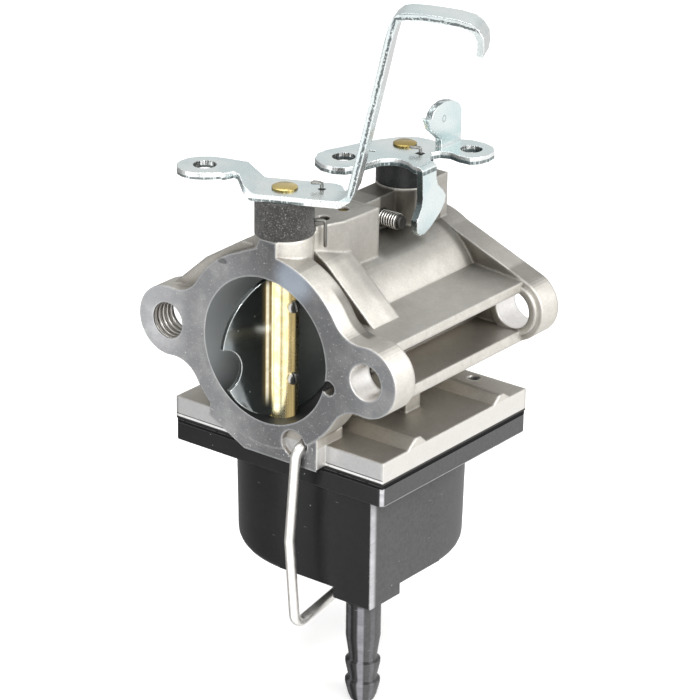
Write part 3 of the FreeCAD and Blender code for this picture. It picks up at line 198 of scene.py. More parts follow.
class Mat:
    """A material whose graph works in millimetres of the object's own frame."""

    def __init__(self, name):
        self.material = bpy.data.materials.new(name)
        self.material.use_nodes = True
        self.tree = self.material.node_tree
        self.tree.nodes.clear()
        self.bsdf = node(self.tree, "BsdfPrincipled")
        self.output = node(self.tree, "OutputMaterial", {0: out(self.bsdf)})
        coords = out(node(self.tree, "TexCoord"), "Object")
        self.point = vector_calc("MULTIPLY", coords, (MM_PER_M,) * 3)

    @cached_property
    def place(self):
        return split(self.point)

    @cached_property
    def geometry(self):
        return node(self.tree, "NewGeometry")

    @cached_property
    def facing(self):
        """Parts of the surface normal in the object's frame."""
        return split(out(node(self.tree, "VectorTransform",
                              {0: out(self.geometry, "True Normal")}, vector_type="NORMAL",
                              convert_from="WORLD", convert_to="OBJECT")))

    def noise(self, scale, detail, rough):
        return noise_at(self.point, scale, detail, rough)

    def streaks(self, scales, rough, detail=3.0, warp=0.0):
        """Noise with its own scale along each of x, y and z."""
        stretched = vec(*(part * scale for part, scale in zip(self.place, scales)))
        return noise_at(stretched, 1.0, detail, rough, warp)

    def cells(self, scale, vector=None):
        inputs = {"Vector": vector or self.point, "Scale": scale}
        return out(node(self.tree, "TexVoronoi", inputs), "Distance")

    def bevel(self, radius, samples=4):
        inputs = {"Radius": radius / MM_PER_M}
        return out(node(self.tree, "Bevel", inputs, samples=samples))

    def edge(self, radius, samples=4, full=0.2):
        """Soft normal, and a mask that is 1 on edges sharper than the radius."""
        soft = self.bevel(radius, samples)
        turned = 1.0 - vector_calc("DOT_PRODUCT", soft, out(self.geometry, "Normal"))
        return soft, turned.step(0.01, full)

    def hollow(self, reach, samples=4):
        """1 in corners and hollows, 0 in the open."""
        inputs = {"Distance": reach / MM_PER_M}
        return 1.0 - out(node(self.tree, "AmbientOcclusion", inputs, samples=samples), "AO")

    def bump(self, height, depth, normal=None):
        inputs = {"Distance": depth / MM_PER_M, "Height": height}
        if normal is not None:
            inputs["Normal"] = normal
        return out(node(self.tree, "Bump", inputs))

    def surface(self, **inputs):
        for name, value in inputs.items():
            feed(self.bsdf.inputs[name.replace("_", " ")], value)
        return self.material


# ------------------------------------------------------------------ casting
def casting_light(mat):
    """Painted light and shade: the blasted skin's brightness by the way it faces."""
    x, y, z = mat.place
    face_x, face_y, face_z = mat.facing
    high = z.step(9.0, 14.0) * y.step(10.5, 13.5)
    return (1.0 + face_x.step(0.25, 0.75) * blend(high, 0.25, -0.20)
            + face_z.step(0.75, 0.97) * blend(high, -0.21, -0.40)
            + face_y.step(-0.8, -0.98) * -0.17
            + y.step(17.0, 15.0) * face_x.band(0.45, 0.85, 0.1) * face_z.step(0.4, 0.6)
            * x.step(8.0, 9.0) * 0.28)


def casting_shade(mat):
    """Mask of painted shadow: the places that lie in shade, each with its own depth."""
    x, y, z = mat.place
    face_x, face_y, face_z = mat.facing
    around = length(x, 0.0, z)
    back_wall = (face_y.step(-0.25, -0.6) * y.step(44.0, 46.0) * z.step(4.0, 9.0)
                 * around.step(33.0, 24.0))
    web_end = face_z.step(0.7, 0.95) * y.step(38.0, 52.0) * z.band(3.0, 8.2, 0.4)
    post = (x.band(-9.0, 8.5, 1.0) * y.band(36.5, 43.5, 1.0) * z.step(13.5, 17.5)
            * z.step(24.6, 23.6))
    valley = (x.band(9.5, 23.0, 1.5) * y.band(4.6, 7.4, 0.8) * z.step(4.0, 7.0)
              * z.step(17.5, 14.0))
    brow = (face_x.step(0.1, -0.2) * face_z.step(0.4, 0.7) * y.step(7.5, 6.5)
            * x.band(-16.0, -5.0, 2.0) * z.step(13.0, 17.0))
    nook = (x.band(-0.5, 8.0, 2.5) * y.band(30.0, 41.0, 3.0) * z.step(17.6, 17.0)
            * z.step(10.5, 13.0))
    crook = (y.step(48.9, 50.6) * y.step(52.3, 51.9) * z.step(6.0, 8.0) * x.step(2.0, 4.0)
             * around.step(21.0, 19.0))
    pin = length(x - 16.3, y - 51.6, 0.0).step(1.60, 1.48) * z.step(-18.62, -18.7)
    return most(pin * 0.88, back_wall * 0.82, crook * 0.70, web_end * 0.42, post * 0.90,
                valley * 0.72, brow * 0.45, nook * 0.66)


def lapped_face(mat, rim):
    """Flange face: cross-hatched lines, bright flecks of painted glint, small stains, a painted
    bluish highlight and painted light and shade.
    """
    x, y, z = mat.place
    wobble = mat.noise(scale=0.12, detail=2.0, rough=0.5)
    level_lines = noise_at(vec(x * 0.5, 0.0, (z + wobble * 2.0) * 6.5),
                           scale=1.0, detail=3.0, rough=0.6)
    upright_lines = noise_at(vec(x * 6.0, 3.0, z * 0.45), scale=1.0, detail=3.0, rough=0.6)
    # bright flecks, painted glints on the lapped face
    fleck = mat.noise(scale=2.6, detail=2.0, rough=0.7).step(0.64, 0.70)
    stain = mat.noise(scale=0.16, detail=4.0, rough=0.6).step(0.42, 0.66)
    # painted light and shade: the face lighter at the left, darker to the right and towards the
    # top
    face_light_and_shade = (x.step(-31.0, -18.0, 1.50, 0.88) + x.step(-12.0, 3.0, 0.0, -0.38)
             + x.step(18.0, 28.0, 0.0, 0.20))
    face_light_and_shade = face_light_and_shade * z.step(15.0, 23.0, 1.0, 0.72)
    colour = dim(mix(stain, (0.335, 0.340, 0.352), (0.43, 0.432, 0.44)), face_light_and_shade)
    colour = tint(tint(colour, level_lines, 0.34), upright_lines, 0.26)
    speck = noise_at(vec(x, 9.0, z), scale=2.2, detail=3.0, rough=0.7).step(0.36, 0.28)
    dent = length((x + 11.5) * 0.45, 0.0, z - 17.1).step(0.75, 0.45)
    blue_highlight = length(x - 7.5, 0.0, z - 17.6).step(6.5, 2.0)
    colour = paint(
        colour,
        (fleck * 0.85, (0.92, 0.92, 0.92)),
        (speck * 0.5, (0.17, 0.17, 0.18)),
        (dent * 0.7, (0.12, 0.12, 0.125)),      # small dent at the upper left of the bore
        (blue_highlight * 0.5, (0.52, 0.60, 0.72)),       # painted bluish highlight at its upper right
        # painted edge highlight
        (rim * 0.5, (0.78, 0.79, 0.80)))
    rough = 0.30 + level_lines * 0.16 + stain * 0.06
    height = level_lines * 0.4 + upright_lines * 0.3 + dent * -1.2 + fleck * 0.2
    return colour, rough, height


def cover_plate_coats(mat, lower, fine, mid):
    """The plate under the bore: a paler, smoother skin with milled sides; its right side is
    painted lighter and its front darker and cooler, as painted light and shade.
    """
    z = mat.place[2]
    face_x, face_y, _ = mat.facing
    colour = tint(tint((0.66, 0.635, 0.595), fine, 0.22),
                  mat.streaks((0.6, 0.6, 4.0), rough=0.6), 0.28)
    colour = paint(
        colour,
        # painted light on the right side, painted shade on the front
        (face_x.step(0.7, 0.9), tint((0.86, 0.845, 0.81), fine, 0.12)),
        (face_y.step(-0.6, -0.9) * 0.8, tint((0.50, 0.51, 0.54), fine, 0.25)))
    fore = lower * face_y.step(-0.5, -0.8)
    flank = lower * face_x.step(0.5, 0.8)
    return (
        (lower * 0.75, colour),
        # a painted highlight along the front's lower edge, a thin dark line just above it, then
        # a dark foot
        (fore * z.band(-23.05, -22.62, 0.05) * 0.85, (0.95,) * 3),
        (fore * z.band(-22.56, -22.40, 0.04) * mid.step(0.35, 0.5, 0.6, 0.92), (0.03,) * 3),
        (most(fore, flank) * z.step(-23.10, -23.17) * 0.94, (0.02,) * 3))


def casting():
    mat = Mat("blasted_casting")
    x, y, z = mat.place
    _, face_y, face_z = mat.facing
    soft, rim = mat.edge(radius=0.9, samples=6, full=0.16)
    big = mat.noise(scale=0.055, detail=2.0, rough=0.5)
    mid = mat.noise(scale=0.35, detail=4.0, rough=0.6)
    fine = mat.noise(scale=1.7, detail=3.0, rough=0.65)
    grit = mat.noise(scale=4.2, detail=2.0, rough=0.6)
    pits = mat.noise(scale=0.9, detail=5.0, rough=0.72).step(0.62, 0.74)

    # blasted skin
    colour = mix(mid.step(0.30, 0.72), (0.545, 0.525, 0.487), (0.60, 0.580, 0.540))
    for pattern, amount in ((fine, 0.24), (grit, 0.30), (big, 0.16)):
        colour = tint(colour, pattern, amount)
    # pits in the skin, and painted shade in its hollows
    colour = paint(colour, (pits * 0.35, (0.24, 0.215, 0.185)),
                   (mat.hollow(5.0).step(0.18, 0.80) * 0.80, (0.15, 0.130, 0.108)))
    # painted light and shade by facing, with painted shadow over the places casting_shade lists
    shaded = casting_shade(mat)
    colour = mix(shaded, dim(colour, casting_light(mat)), (0.10, 0.094, 0.080))
    # painted shade: wide hollows darken and turn a little warmer
    deep_shade = mat.hollow(16.0).step(0.38, 0.92, 1.0, 0.80)
    colour = vector_calc("MULTIPLY", colour, vec(
        deep_shade, deep_shade * deep_shade.ramp(0.80, 1.0, 0.965, 1.0), deep_shade * deep_shade.ramp(0.80, 1.0, 0.91, 1.0)))
    # open edges painted lighter: partly worn skin, partly a painted highlight, kept faint in the
    # painted shadow
    open_edge = rim * mat.hollow(1.6).step(0.55, 0.2)
    worn_highlit_edge = open_edge * fine.vary(0.25, 0.75) * shaded.step(0.6, 0.1, 0.12, 1.0)
    colour = mix(worn_highlit_edge, colour, (0.80, 0.785, 0.75))
    rough = 0.40 + mid * 0.10 + grit * 0.10 + open_edge * -0.10
    normal = mat.bump(fine * 0.55 + grit * 0.35 + mid * 0.9, 0.085, soft)

    # masks of the machined surfaces
    bore_radius = length(x, 0.0, z)
    right_radius = length(x - EAR_X, 0.0, z)
    left_radius = length(x + EAR_X, 0.0, z)
    front = y.step(0.42, 0.36) * face_y.step(-0.6, -0.9)
    rear = y.step(57.90, 57.97) * face_y.step(0.6, 0.9)
    face = most(front, rear)
    bore = bore_radius.step(16.3, 16.2) * abs(face_y).step(0.95, 0.8)
    left_hole = left_radius.step(4.15, 4.08) * abs(face_y).step(0.9, 0.7)
    right_hole = right_radius.step(4.42, 4.34) * abs(face_y).step(0.9, 0.7)
    top = (z.step(24.38, 24.45) * face_z.step(0.7, 0.95)
           * length(x, y - CHOKE_Y, 0.0).step(6.4, 6.2))
    lower = z.step(-18.5, -18.56) * abs(face_z).step(0.6, 0.4) * (1.0 - face)

    face_colour, face_rough, face_height = lapped_face(mat, rim)

    # fine turning rings along the bore, with painted light on its left wall and painted shade
    # towards its right and lower side and further in
    ring = mat.streaks((0.02, 5.0, 0.02), rough=0.7)
    bore_painted_light = (x + z * -0.35).step(-15.0, -5.0, 0.88, 0.075)
    bore_colour = dim(tint((0.56, 0.595, 0.62), ring, 0.30), bore_painted_light)
    bore_colour = mix(y.step(7.0, 22.0), bore_colour, (0.14, 0.135, 0.13))

    # plain right hole with its wall painted near white as painted light; threaded left hole with
    # painted shade in its grooves
    pitch, lead = 1.27, 0.2
    turn = calc("ARCTAN2", z, x + EAR_X)
    thread = calc("SINE", (y + turn * lead) * (2 * math.pi / pitch))
    lit_plain_hole_colour = tint((0.97, 0.95, 0.93), mat.noise(scale=1.3, detail=3.0, rough=0.6), 0.35)
    thread_colour_and_shade = mix(thread.ramp(-1.0, 1.0, 0.0, 1.0), (0.20, 0.19, 0.18), (0.80, 0.78, 0.75))

    colour = paint(
        colour, (face, face_colour), (bore, bore_colour), (right_hole, lit_plain_hole_colour),
        (left_hole, thread_colour_and_shade), (top * 0.7, (0.55, 0.555, 0.56)),
        *cover_plate_coats(mat, lower, fine, mid))
    for mask, value in ((face, face_rough), (bore, 0.34 + ring * 0.14),
                        (most(left_hole, right_hole), 0.3), (top, 0.3), (lower * 0.7, 0.36)):
        rough = blend(mask, rough, value)
    for mask, over in ((face, mat.bump(face_height, 0.035, mat.bevel(0.35))),
                       (bore, mat.bump(ring, 0.02)), (left_hole, mat.bump(thread, 0.30))):
        kept = vec(1.0 - mask, 1.0 - mask, 1.0 - mask)
        normal = vector_calc("ADD", vector_calc("MULTIPLY", normal, kept), dim(over, mask))
    return mat.surface(
        Base_Color=colour, Roughness=rough, Metallic=blend(bore, 0.88, 0.30),
        Specular_IOR_Level=blend(bore * bore_painted_light.step(0.7, 0.2), 0.5, 0.06),
        Normal=vector_calc("NORMALIZE", normal))


# ------------------------------------------------------------------ plated and turned metal
ARM_SIN, ARM_COS = 0.4226, 0.9063       # the choke lever's arm points 25 degrees back from +X


def sheared_side(mat, streak):
    """Sheared lever edges: a torn lower band and a burnished band above it."""
    x, _, z = mat.place
    side = abs(mat.facing[2]).step(0.5, 0.3) * most(
        z.band(32.4, 34.1, 0.05),
        z.band(35.4, 37.1, 0.05) * x.step(-5.0, -6.0),
        z.band(30.6, 32.4, 0.05))
    low_part = (z.band(32.35, 33.05, 0.12) * x.step(7.5, 6.5) + z.band(35.35, 36.0, 0.12)
                + z.band(30.6, 31.4, 0.12) * 1.0)
    return side, side * (low_part * streak.step(0.36, 0.50)), side * (1.0 - low_part)


def choke_arm_coats(mat):
    """The cut edge of the choke lever's raised arm, with a ragged line along its rim and a
    painted highlight on the faces that point along the arm.
    """
    x, y, z = mat.place
    face_x, face_y, _ = mat.facing
    along = abs(face_x * -ARM_SIN + face_y * ARM_COS)
    upper = z.step(34.6, 35.6) * y.step(30.0, 28.0) * x.step(8.0, 9.0)
    arm_cut = along.step(0.6, 0.9) * upper
    # depth in from the arm's sloping edge and from its rounded top
    run = x * ARM_COS + (y - CHOKE_Y) * ARM_SIN
    from_rise = (run - 14.9) * 0.9769 + (z - 39.6) * -0.2137
    off = run - 29.0
    from_top = (74.9 - z) - off * off * 0.013
    across = least(from_rise, from_top)
    across = across + (mat.noise(scale=0.9, detail=4.0, rough=0.75) - 0.5) * 0.9
    ragged = (across.band(0.80, 1.22, 0.10)
              * mat.noise(scale=2.2, detail=2.0, rough=0.6).step(0.36, 0.46))
    edge_line = least(from_rise, from_top).step(0.30, 0.14) * arm_cut
    # painted highlight on the faces that point along the arm
    broad = ((face_x * ARM_COS + face_y * ARM_SIN).step(0.7, 0.95) * z.step(35.0, 36.0)
             * y.step(30.0, 28.0))
    return ((arm_cut * 0.5, (0.93, 0.985, 0.99)),
            (arm_cut * ragged * 0.88, (0.10, 0.115, 0.12)),
            (edge_line * 0.62, (0.16, 0.19, 0.20)),
            (broad * 0.8, (0.99, 1.0, 1.0)))


def throttle_tab_coats(mat):
    """The throttle lever's drop with painted shade on its front, and its upright tab with a
    small ring mark.
    """
    _, y, z = mat.place
    face_x, face_y, _ = mat.facing
    # painted shade on the drop's front face
    shaded_drop = (face_y.step(-0.5, -0.85) * z.step(32.0, 31.0) * y.step(28.0, 30.0)
            * z.step(17.5, 21.0))
    tab = z.step(32.6, 33.4) * y.step(44.0, 45.0)
    mark = length(y - 51.0, (z - 38.6) * 0.8, 0.0)
    tab_rim = (tab * abs(face_x).step(0.5, 0.3)
               * mat.noise(scale=1.1, detail=3.0, rough=0.7).step(0.40, 0.52))
    return ((shaded_drop * 0.82, (0.09, 0.125, 0.135)),
            (tab * z.step(37.5, 34.0) * 0.5, (0.55, 0.72, 0.73)),
            (tab * mark.band(0.45, 0.62, 0.12) * 0.55, (0.30, 0.36, 0.37)),
            (tab_rim * 0.75, (0.10, 0.12, 0.125)))


LEVER_HOLES = ((-16.18, 0.30, 2.4), (-5.2, 32.6, 2.45), (12.6, 53.6, 2.3))   # x, y, radius


def zinc():
    mat = Mat("bright_zinc_plate")
    x, y, z = mat.place
    soft, rim = mat.edge(radius=0.28, samples=5, full=0.18)
    cloud = mat.noise(scale=0.10, detail=3.0, rough=0.5)
    mottle = mat.noise(scale=0.55, detail=4.0, rough=0.6)
    fine = mat.noise(scale=3.0, detail=2.0, rough=0.6)
    draw = mat.streaks((0.35, 3.2, 0.35), rough=0.6)
    scuff = noise_at(vec(x * 1.0, y * 0.3, z), scale=0.8, detail=5.0, rough=0.75)
    scuff = scuff.step(0.60, 0.72)
    streak = mat.streaks((3.4, 3.4, 0.35), rough=0.7)
    side, torn, burnished = sheared_side(mat, streak)
    hollow_dark = mat.hollow(1.2).step(0.35, 0.85)
    hole_walls = most(*(length(x - hole_x, y - hole_y, 0.0).step(radius + 0.12, radius + 0.04)
                        for hole_x, hole_y, radius in LEVER_HOLES))

    colour = mix(cloud.step(0.35, 0.65), (0.72, 0.835, 0.855), (0.84, 0.915, 0.915))
    colour = tint(tint(colour, mottle, 0.14), draw, 0.08)
    colour = paint(
        colour,
        (mottle.step(0.60, 0.72) * 0.25, (0.74, 0.72, 0.66)),
        (scuff * 0.22, (0.93, 0.95, 0.95)),
        (torn * 0.85, (0.08, 0.10, 0.10)),
        (burnished * 0.8, (0.98, 1.0, 1.0)),
        *choke_arm_coats(mat),
        *throttle_tab_coats(mat),
        # painted edge highlight
        (rim * 0.8, (0.95, 0.97, 0.98)),
        # darker in small hollows
        (hollow_dark * 0.35, (0.22, 0.24, 0.24)),
        (hole_walls * streak.step(0.62, 0.40) * 0.93, (0.05, 0.06, 0.06)))
    rough = 0.17 + mottle * 0.14 + fine * 0.05 + scuff * 0.12
    normal = mat.bump(mottle * 0.6 + fine * 0.15 + draw * 0.15, 0.022, soft)
    return mat.surface(Base_Color=colour, Roughness=blend(torn, rough, 0.55), Metallic=1.0,
                       Normal=mat.bump(streak * side, 0.04, normal))


# dark and pale colour, drawn-line tint, share of the painted edge highlight, base roughness
BRASS = {
    "head": ((0.215, 0.158, 0.050), (0.290, 0.222, 0.080), 0.1, 0.12, 0.30),
    "shaft": ((0.96, 0.80, 0.42), (1.0, 0.90, 0.60), 0.45, 0.6, 0.18),
}


def brass(kind):
    mat = Mat("turned_brass_" + kind)
    dark, pale, pull_tint, edge_highlight_share, base_rough = BRASS[kind]
    _, y, z = mat.place
    face_x, face_y, face_z = mat.facing
    soft, rim = mat.edge(radius=0.25)
    patch = mat.noise(scale=0.5, detail=4.0, rough=0.6)
    lathe = mat.streaks((0.05, 0.05, 6.0), rough=0.7)
    pull = mat.streaks((2.2, 2.2, 0.05), rough=0.6, detail=2.0)
    tarnish = mat.noise(scale=1.4, detail=4.0, rough=0.7).step(0.58, 0.72)
    # the staked heads above the levers are duller; the throttle head and the heads' sides are
    # painted darker as painted shade
    head_colour_and_shade = mix(y.step(30.0, 31.0), (0.66, 0.53, 0.215), (0.44, 0.335, 0.115))
    head_colour_and_shade = mix(abs(face_z).step(0.6, 0.3) * 0.8, tint(head_colour_and_shade, patch, 0.3), (0.085, 0.062, 0.018))
    colour = tint(tint(mix(patch.step(0.35, 0.65), dark, pale), lathe, 0.25), pull, pull_tint)
    colour = paint(colour, (tarnish * 0.35, (0.30, 0.20, 0.08)),
                   (rim * edge_highlight_share, (0.95, 0.84, 0.55)), (z.step(31.6, 32.2), head_colour_and_shade))
    if kind == "shaft":
        # a painted glint, made to glow, down the side that faces right and forward
        painted_glint = face_x.band(0.80, 0.965, 0.10) * face_y.step(0.0, -0.1) * pull.vary(0.6, 1.2)
        mat.surface(Emission_Color=(1.0, 0.76, 0.33), Emission_Strength=painted_glint * 0.42)
    return mat.surface(Base_Color=colour, Roughness=base_rough + lathe * 0.14 + tarnish * 0.15,
                       Metallic=1.0, Normal=mat.bump(lathe * 0.5 + patch * 0.4, 0.03, soft))


PLATE_COS, PLATE_SIN = 0.966, 0.259     # the choke plate faces right, 15 degrees to the front


def shaft_reflection(mat):
    """Painted reflection: the shaft's image in the choke plate, made to glow as a soft gold
    streak on its front half.
    """
    x, y, z = mat.place
    face_x, face_y, _ = mat.facing
    across = (x * PLATE_SIN + (y - CHOKE_Y) * PLATE_COS) * -1.0
    reach = z.step(-13.6, -9.0) * z.step(15.5, 13.0)
    wave = noise_at(vec(0.0, 0.0, z * 0.5), scale=1.0, detail=2.0, rough=0.5)
    streak = (across.step(6.3, 3.6) * 0.26 + across.band(4.35, 4.75, 0.40) * wave.vary(0.6, 0.9)
              + across.band(2.4, 3.1, 0.5) * 0.5)
    streak = streak * across.step(1.5, 2.2)
    face_on = (face_x * PLATE_COS + face_y * -PLATE_SIN).step(0.8, 0.95)
    glow = streak * reach * face_on
    mat.surface(Emission_Color=mix(streak.step(0.3, 0.9), (1.0, 0.72, 0.26), (1.0, 0.93, 0.70)),
                Emission_Strength=glow * 0.95)


def mirror_plate(name, choke=False):
    mat = Mat(name)
    soft, rim = mat.edge(radius=0.25, samples=5)
    cloud = mat.noise(scale=0.12, detail=3.0, rough=0.5)
    roll = mat.streaks((0.3, 0.3, 5.0), rough=0.6)
    haze = mat.noise(scale=0.7, detail=5.0, rough=0.65)
    spot = mat.cells(scale=0.35).step(0.09, 0.05)
    colour = tint(mix(cloud, (0.66, 0.73, 0.74), (0.80, 0.86, 0.86)), haze, 0.25)
    if choke:
        face_x, face_y, _ = mat.facing
        narrow = abs(face_x * PLATE_COS + face_y * -PLATE_SIN).step(0.5, 0.2)
        colour = mix(narrow * 0.85, colour, (0.05, 0.06, 0.06))
        shaft_reflection(mat)
    # painted edge highlight, then spots
    colour = paint(colour, (rim * 0.95, (0.97, 1.0, 1.0)), (spot * 0.3, (0.6, 0.63, 0.62)))
    return mat.surface(Base_Color=colour,
                       Roughness=0.055 + haze * 0.07 + roll * 0.05 + spot * 0.2,
                       Metallic=1.0, Normal=mat.bump(roll * 0.3 + haze * 0.5, 0.012, soft))


def threaded():
    """Bright crests, dark grooves painted as shade: the distance from the screw's own axis picks
    them out.
    """
    mat = Mat("steel_thread")
    axis_y, axis_z = 37.0, 19.2
    x, y, z = mat.place
    soft, rim = mat.edge(radius=0.10)
    radius = length(0.0, y - axis_y, z - axis_z)
    groove = radius.step(1.76, 1.56) * x.step(-3.0, -2.0)
    tip = x.step(5.4, 6.4) * radius.step(1.75, 1.2)
    patch = mat.noise(scale=0.9, detail=4.0, rough=0.6)
    colour = tint(mix(patch, (0.62, 0.60, 0.56), (0.78, 0.765, 0.73)),
                  mat.noise(scale=3.0, detail=2.0, rough=0.6), 0.3)
    # painted shade in the grooves, a darker tip and a painted edge highlight
    colour = paint(colour, (groove * 0.93, (0.035, 0.032, 0.03)),
                   (tip * 0.55, (0.10, 0.095, 0.09)), (rim * 0.3, (0.95, 0.94, 0.92)))
    return mat.surface(Base_Color=colour, Roughness=0.20 + patch * 0.14 + groove * 0.3,
                       Metallic=1.0, Normal=mat.bump(patch, 0.015, soft))


# colour, base roughness, scales of the drawn lines along x, y and z, their roughness
STEEL = {
    "screw": ((0.50, 0.49, 0.47), 0.24, (0.3, 4.0, 4.0)),
    "spring": ((0.22, 0.215, 0.205), 0.26, (0.3, 4.0, 4.0)),
    "bail": ((0.90, 0.885, 0.85), 0.30, (5.0, 5.0, 0.25)),
}


def steel(kind):
    mat = Mat("steel_" + kind)
    base, base_rough, draw_scales = STEEL[kind]
    soft, rim = mat.edge(radius=0.16)
    patch = mat.noise(scale=0.6, detail=4.0, rough=0.6)
    fine = mat.noise(scale=4.0, detail=2.0, rough=0.6)
    draw = mat.streaks(draw_scales, rough=0.65)
    hollow_dark = mat.hollow(0.6, samples=6).step(0.15, 0.55)
    # painted shade in small hollows, and a painted edge highlight
    colour = paint(tint(tint(base, patch, 0.4), draw, 0.35),
                   (hollow_dark * 0.85, (0.05, 0.045, 0.04)), (rim * 0.6, (0.9, 0.9, 0.88)))
    height = draw * 0.4 + patch * 0.4 + fine * 0.1
    return mat.surface(Base_Color=colour, Roughness=base_rough + patch * 0.14 + fine * 0.06,
                       Metallic=1.0, Normal=mat.bump(height, 0.02, soft))


# ------------------------------------------------------------------ soft and moulded parts
def seal_patterns(mat):
    """Soft normal, nap, clumps and flecks of a shaft seal."""
    x, y, z = mat.place
    nap = mat.noise(scale=2.6, detail=5.0, rough=0.75)
    clump = mat.noise(scale=0.8, detail=4.0, rough=0.65)
    fleck = noise_at(vec(x, y, z + 31.0), scale=2.9, detail=3.0, rough=0.75).step(0.585, 0.66)
    return mat.bevel(0.6), nap, clump, fleck


def felt_seal():
    mat = Mat("seal_felt")
    soft, nap, clump, fleck = seal_patterns(mat)
    fibre = mat.streaks((3.5, 3.5, 1.2), rough=0.7, warp=1.4)
    colour = mix(clump.step(0.32, 0.68), (0.014, 0.013, 0.012), (0.042, 0.039, 0.037))
    colour = mix(fleck * 0.8, tint(colour, nap, 1.0), (0.40, 0.385, 0.36))
    return mat.surface(Base_Color=colour, Roughness=0.62 + nap * 0.25,
                       Sheen_Weight=0.25, Sheen_Roughness=0.5,
                       Normal=mat.bump(nap * 0.8 + clump * 0.6 + fibre * 0.5, 0.30, soft))


def rubber_seal():
    mat = Mat("seal_rubber")
    soft, nap, clump, fleck = seal_patterns(mat)
    colour = mix(clump, (0.010, 0.012, 0.012), (0.026, 0.030, 0.030))
    colour = mix(fleck * 0.25, colour, (0.12, 0.14, 0.13))
    return mat.surface(Base_Color=colour, Roughness=0.26 + nap * 0.22,
                       Normal=mat.bump(clump * 0.7 + nap * 0.25, 0.16, soft))


def rubber():
    mat = Mat("moulded_rubber")
    z = mat.place[2]
    soft, rim = mat.edge(radius=0.3)
    broad = mat.noise(scale=0.6, detail=4.0, rough=0.6)
    fine = mat.noise(scale=3.2, detail=3.0, rough=0.7)
    dust = mat.noise(scale=1.8, detail=4.0, rough=0.75).step(0.62, 0.74) * 0.35
    # a broken painted glint along the front edge at the moulding split
    front_glint = (z.band(-24.00, -23.90, 0.05) * mat.facing[1].step(-0.5, -0.8)
               * mat.noise(scale=0.8, detail=4.0, rough=0.75).step(0.40, 0.52))
    colour = tint(mix(broad, (0.002, 0.002, 0.002), (0.005, 0.005, 0.0055)), fine, 0.6)
    # dust, a painted edge highlight and the painted glint
    colour = paint(colour, (dust * 0.5, (0.16, 0.155, 0.15)),
                   (rim * 0.15, (0.05, 0.05, 0.052)), (front_glint * 0.12, (0.55, 0.55, 0.55)))
    return mat.surface(Base_Color=colour, Roughness=0.40 + fine * 0.22, Specular_IOR_Level=0.16,
                       Normal=mat.bump(broad * 0.6 + fine * 0.35, 0.05, soft))


def bowl_dust(mat):
    """Sparse specks, a few short fibres and a thin film."""
    x, y, z = mat.place
    patches = noise_at(vec(x, y, z + 9.0), scale=0.3, detail=2.0, rough=0.5)
    speck = mat.cells(scale=0.32).step(0.055, 0.030) * patches.step(0.45, 0.55)
    lint = mat.cells(1.0, vec(x * 0.10, y * 0.10, z * 0.65)).step(0.05, 0.03) * 0.7
    film = mat.noise(scale=2.4, detail=4.0, rough=0.8).step(0.70, 0.80)
    return most(speck * 0.75, lint * 0.4, film * 0.25)


def bowl_glint(mat, soft, flow):
    """Painted glints: light painted on the front right corner, on the ridge beside it and along
    the seam.
    """
    x, y, z = mat.place
    face_x, face_y, _ = mat.facing
    corner = length(x - 24.6, y - 4.8, 0.0).step(1.9, 0.6) * z.step(-27.0, -29.0)
    corner = corner * (split(soft)[0].band(0.20, 0.95, 0.15) * flow.vary(0.75, 1.1))
    ridge = (face_x.band(0.45, 0.85, 0.15) * face_y.step(-0.2, -0.4) * x.step(26.6, 27.4)
             * z.step(-28.6, -28.2))
    seam = z.band(-28.55, -28.35, 0.08) * face_x.step(0.8, 0.95) * flow.vary(0.3, 0.6)
    return most(corner, ridge * flow.vary(0.6, 1.0), seam)


def bowl_plastic():
    mat = Mat("moulded_bowl")
    x, y, z = mat.place
    soft, rim = mat.edge(radius=0.55, samples=5)
    cloud = mat.noise(scale=0.10, detail=3.0, rough=0.5)
    grain = mat.noise(scale=1.3, detail=4.0, rough=0.65)
    fine = mat.noise(scale=4.5, detail=3.0, rough=0.65)
    flow = mat.streaks((0.12, 0.12, 0.5), rough=0.6, warp=0.8)
    dust = bowl_dust(mat)
    colour = mix(cloud, (0.006, 0.006, 0.007), (0.012, 0.012, 0.013))
    # a painted edge highlight, then dust
    colour = paint(tint(tint(colour, grain, 0.5), flow, 0.4),
                   (rim * 0.55, (0.085, 0.085, 0.09)), (dust, (0.42, 0.42, 0.42)))
    # painted sheen: the right side painted lighter, as raking light would light it
    painted_sheen = mat.facing[0].step(0.25, 0.85) * grain.vary(0.8, 1.2)
    colour = vector_calc("ADD", colour, dim((0.062, 0.062, 0.063), painted_sheen))
    # painted upright highlights on the round stem at the bottom, placed by degrees about its
    # axis
    stem_x, stem_y = 19.6, 9.3
    turn = calc("ARCTAN2", x - stem_x, (y - stem_y) * -1.0) * (180 / math.pi)
    stem_highlights = z.step(-54.2, -55.2) * (turn.band(22.0, 34.0, 9.0) + turn.band(66.0, 74.0, 8.0) * 0.24
                                   + turn.band(-20.0, -12.0, 8.0) * 0.25)
    colour = paint(colour, (bowl_glint(mat, soft, flow) * 0.9, (0.64, 0.64, 0.67)),
                   (stem_highlights * flow.vary(0.55, 1.0), (0.29, 0.29, 0.32)))
    rough = 0.25 + grain * 0.14 + cloud * 0.08 + dust * 0.3
    return mat.surface(Base_Color=colour, Specular_IOR_Level=0.28,
                       Roughness=blend(z.step(-54.2, -55.2), rough, rough * 0.6),
                       Normal=mat.bump(grain * 0.5 + fine * 0.25 + flow * 0.8, 0.030, soft))


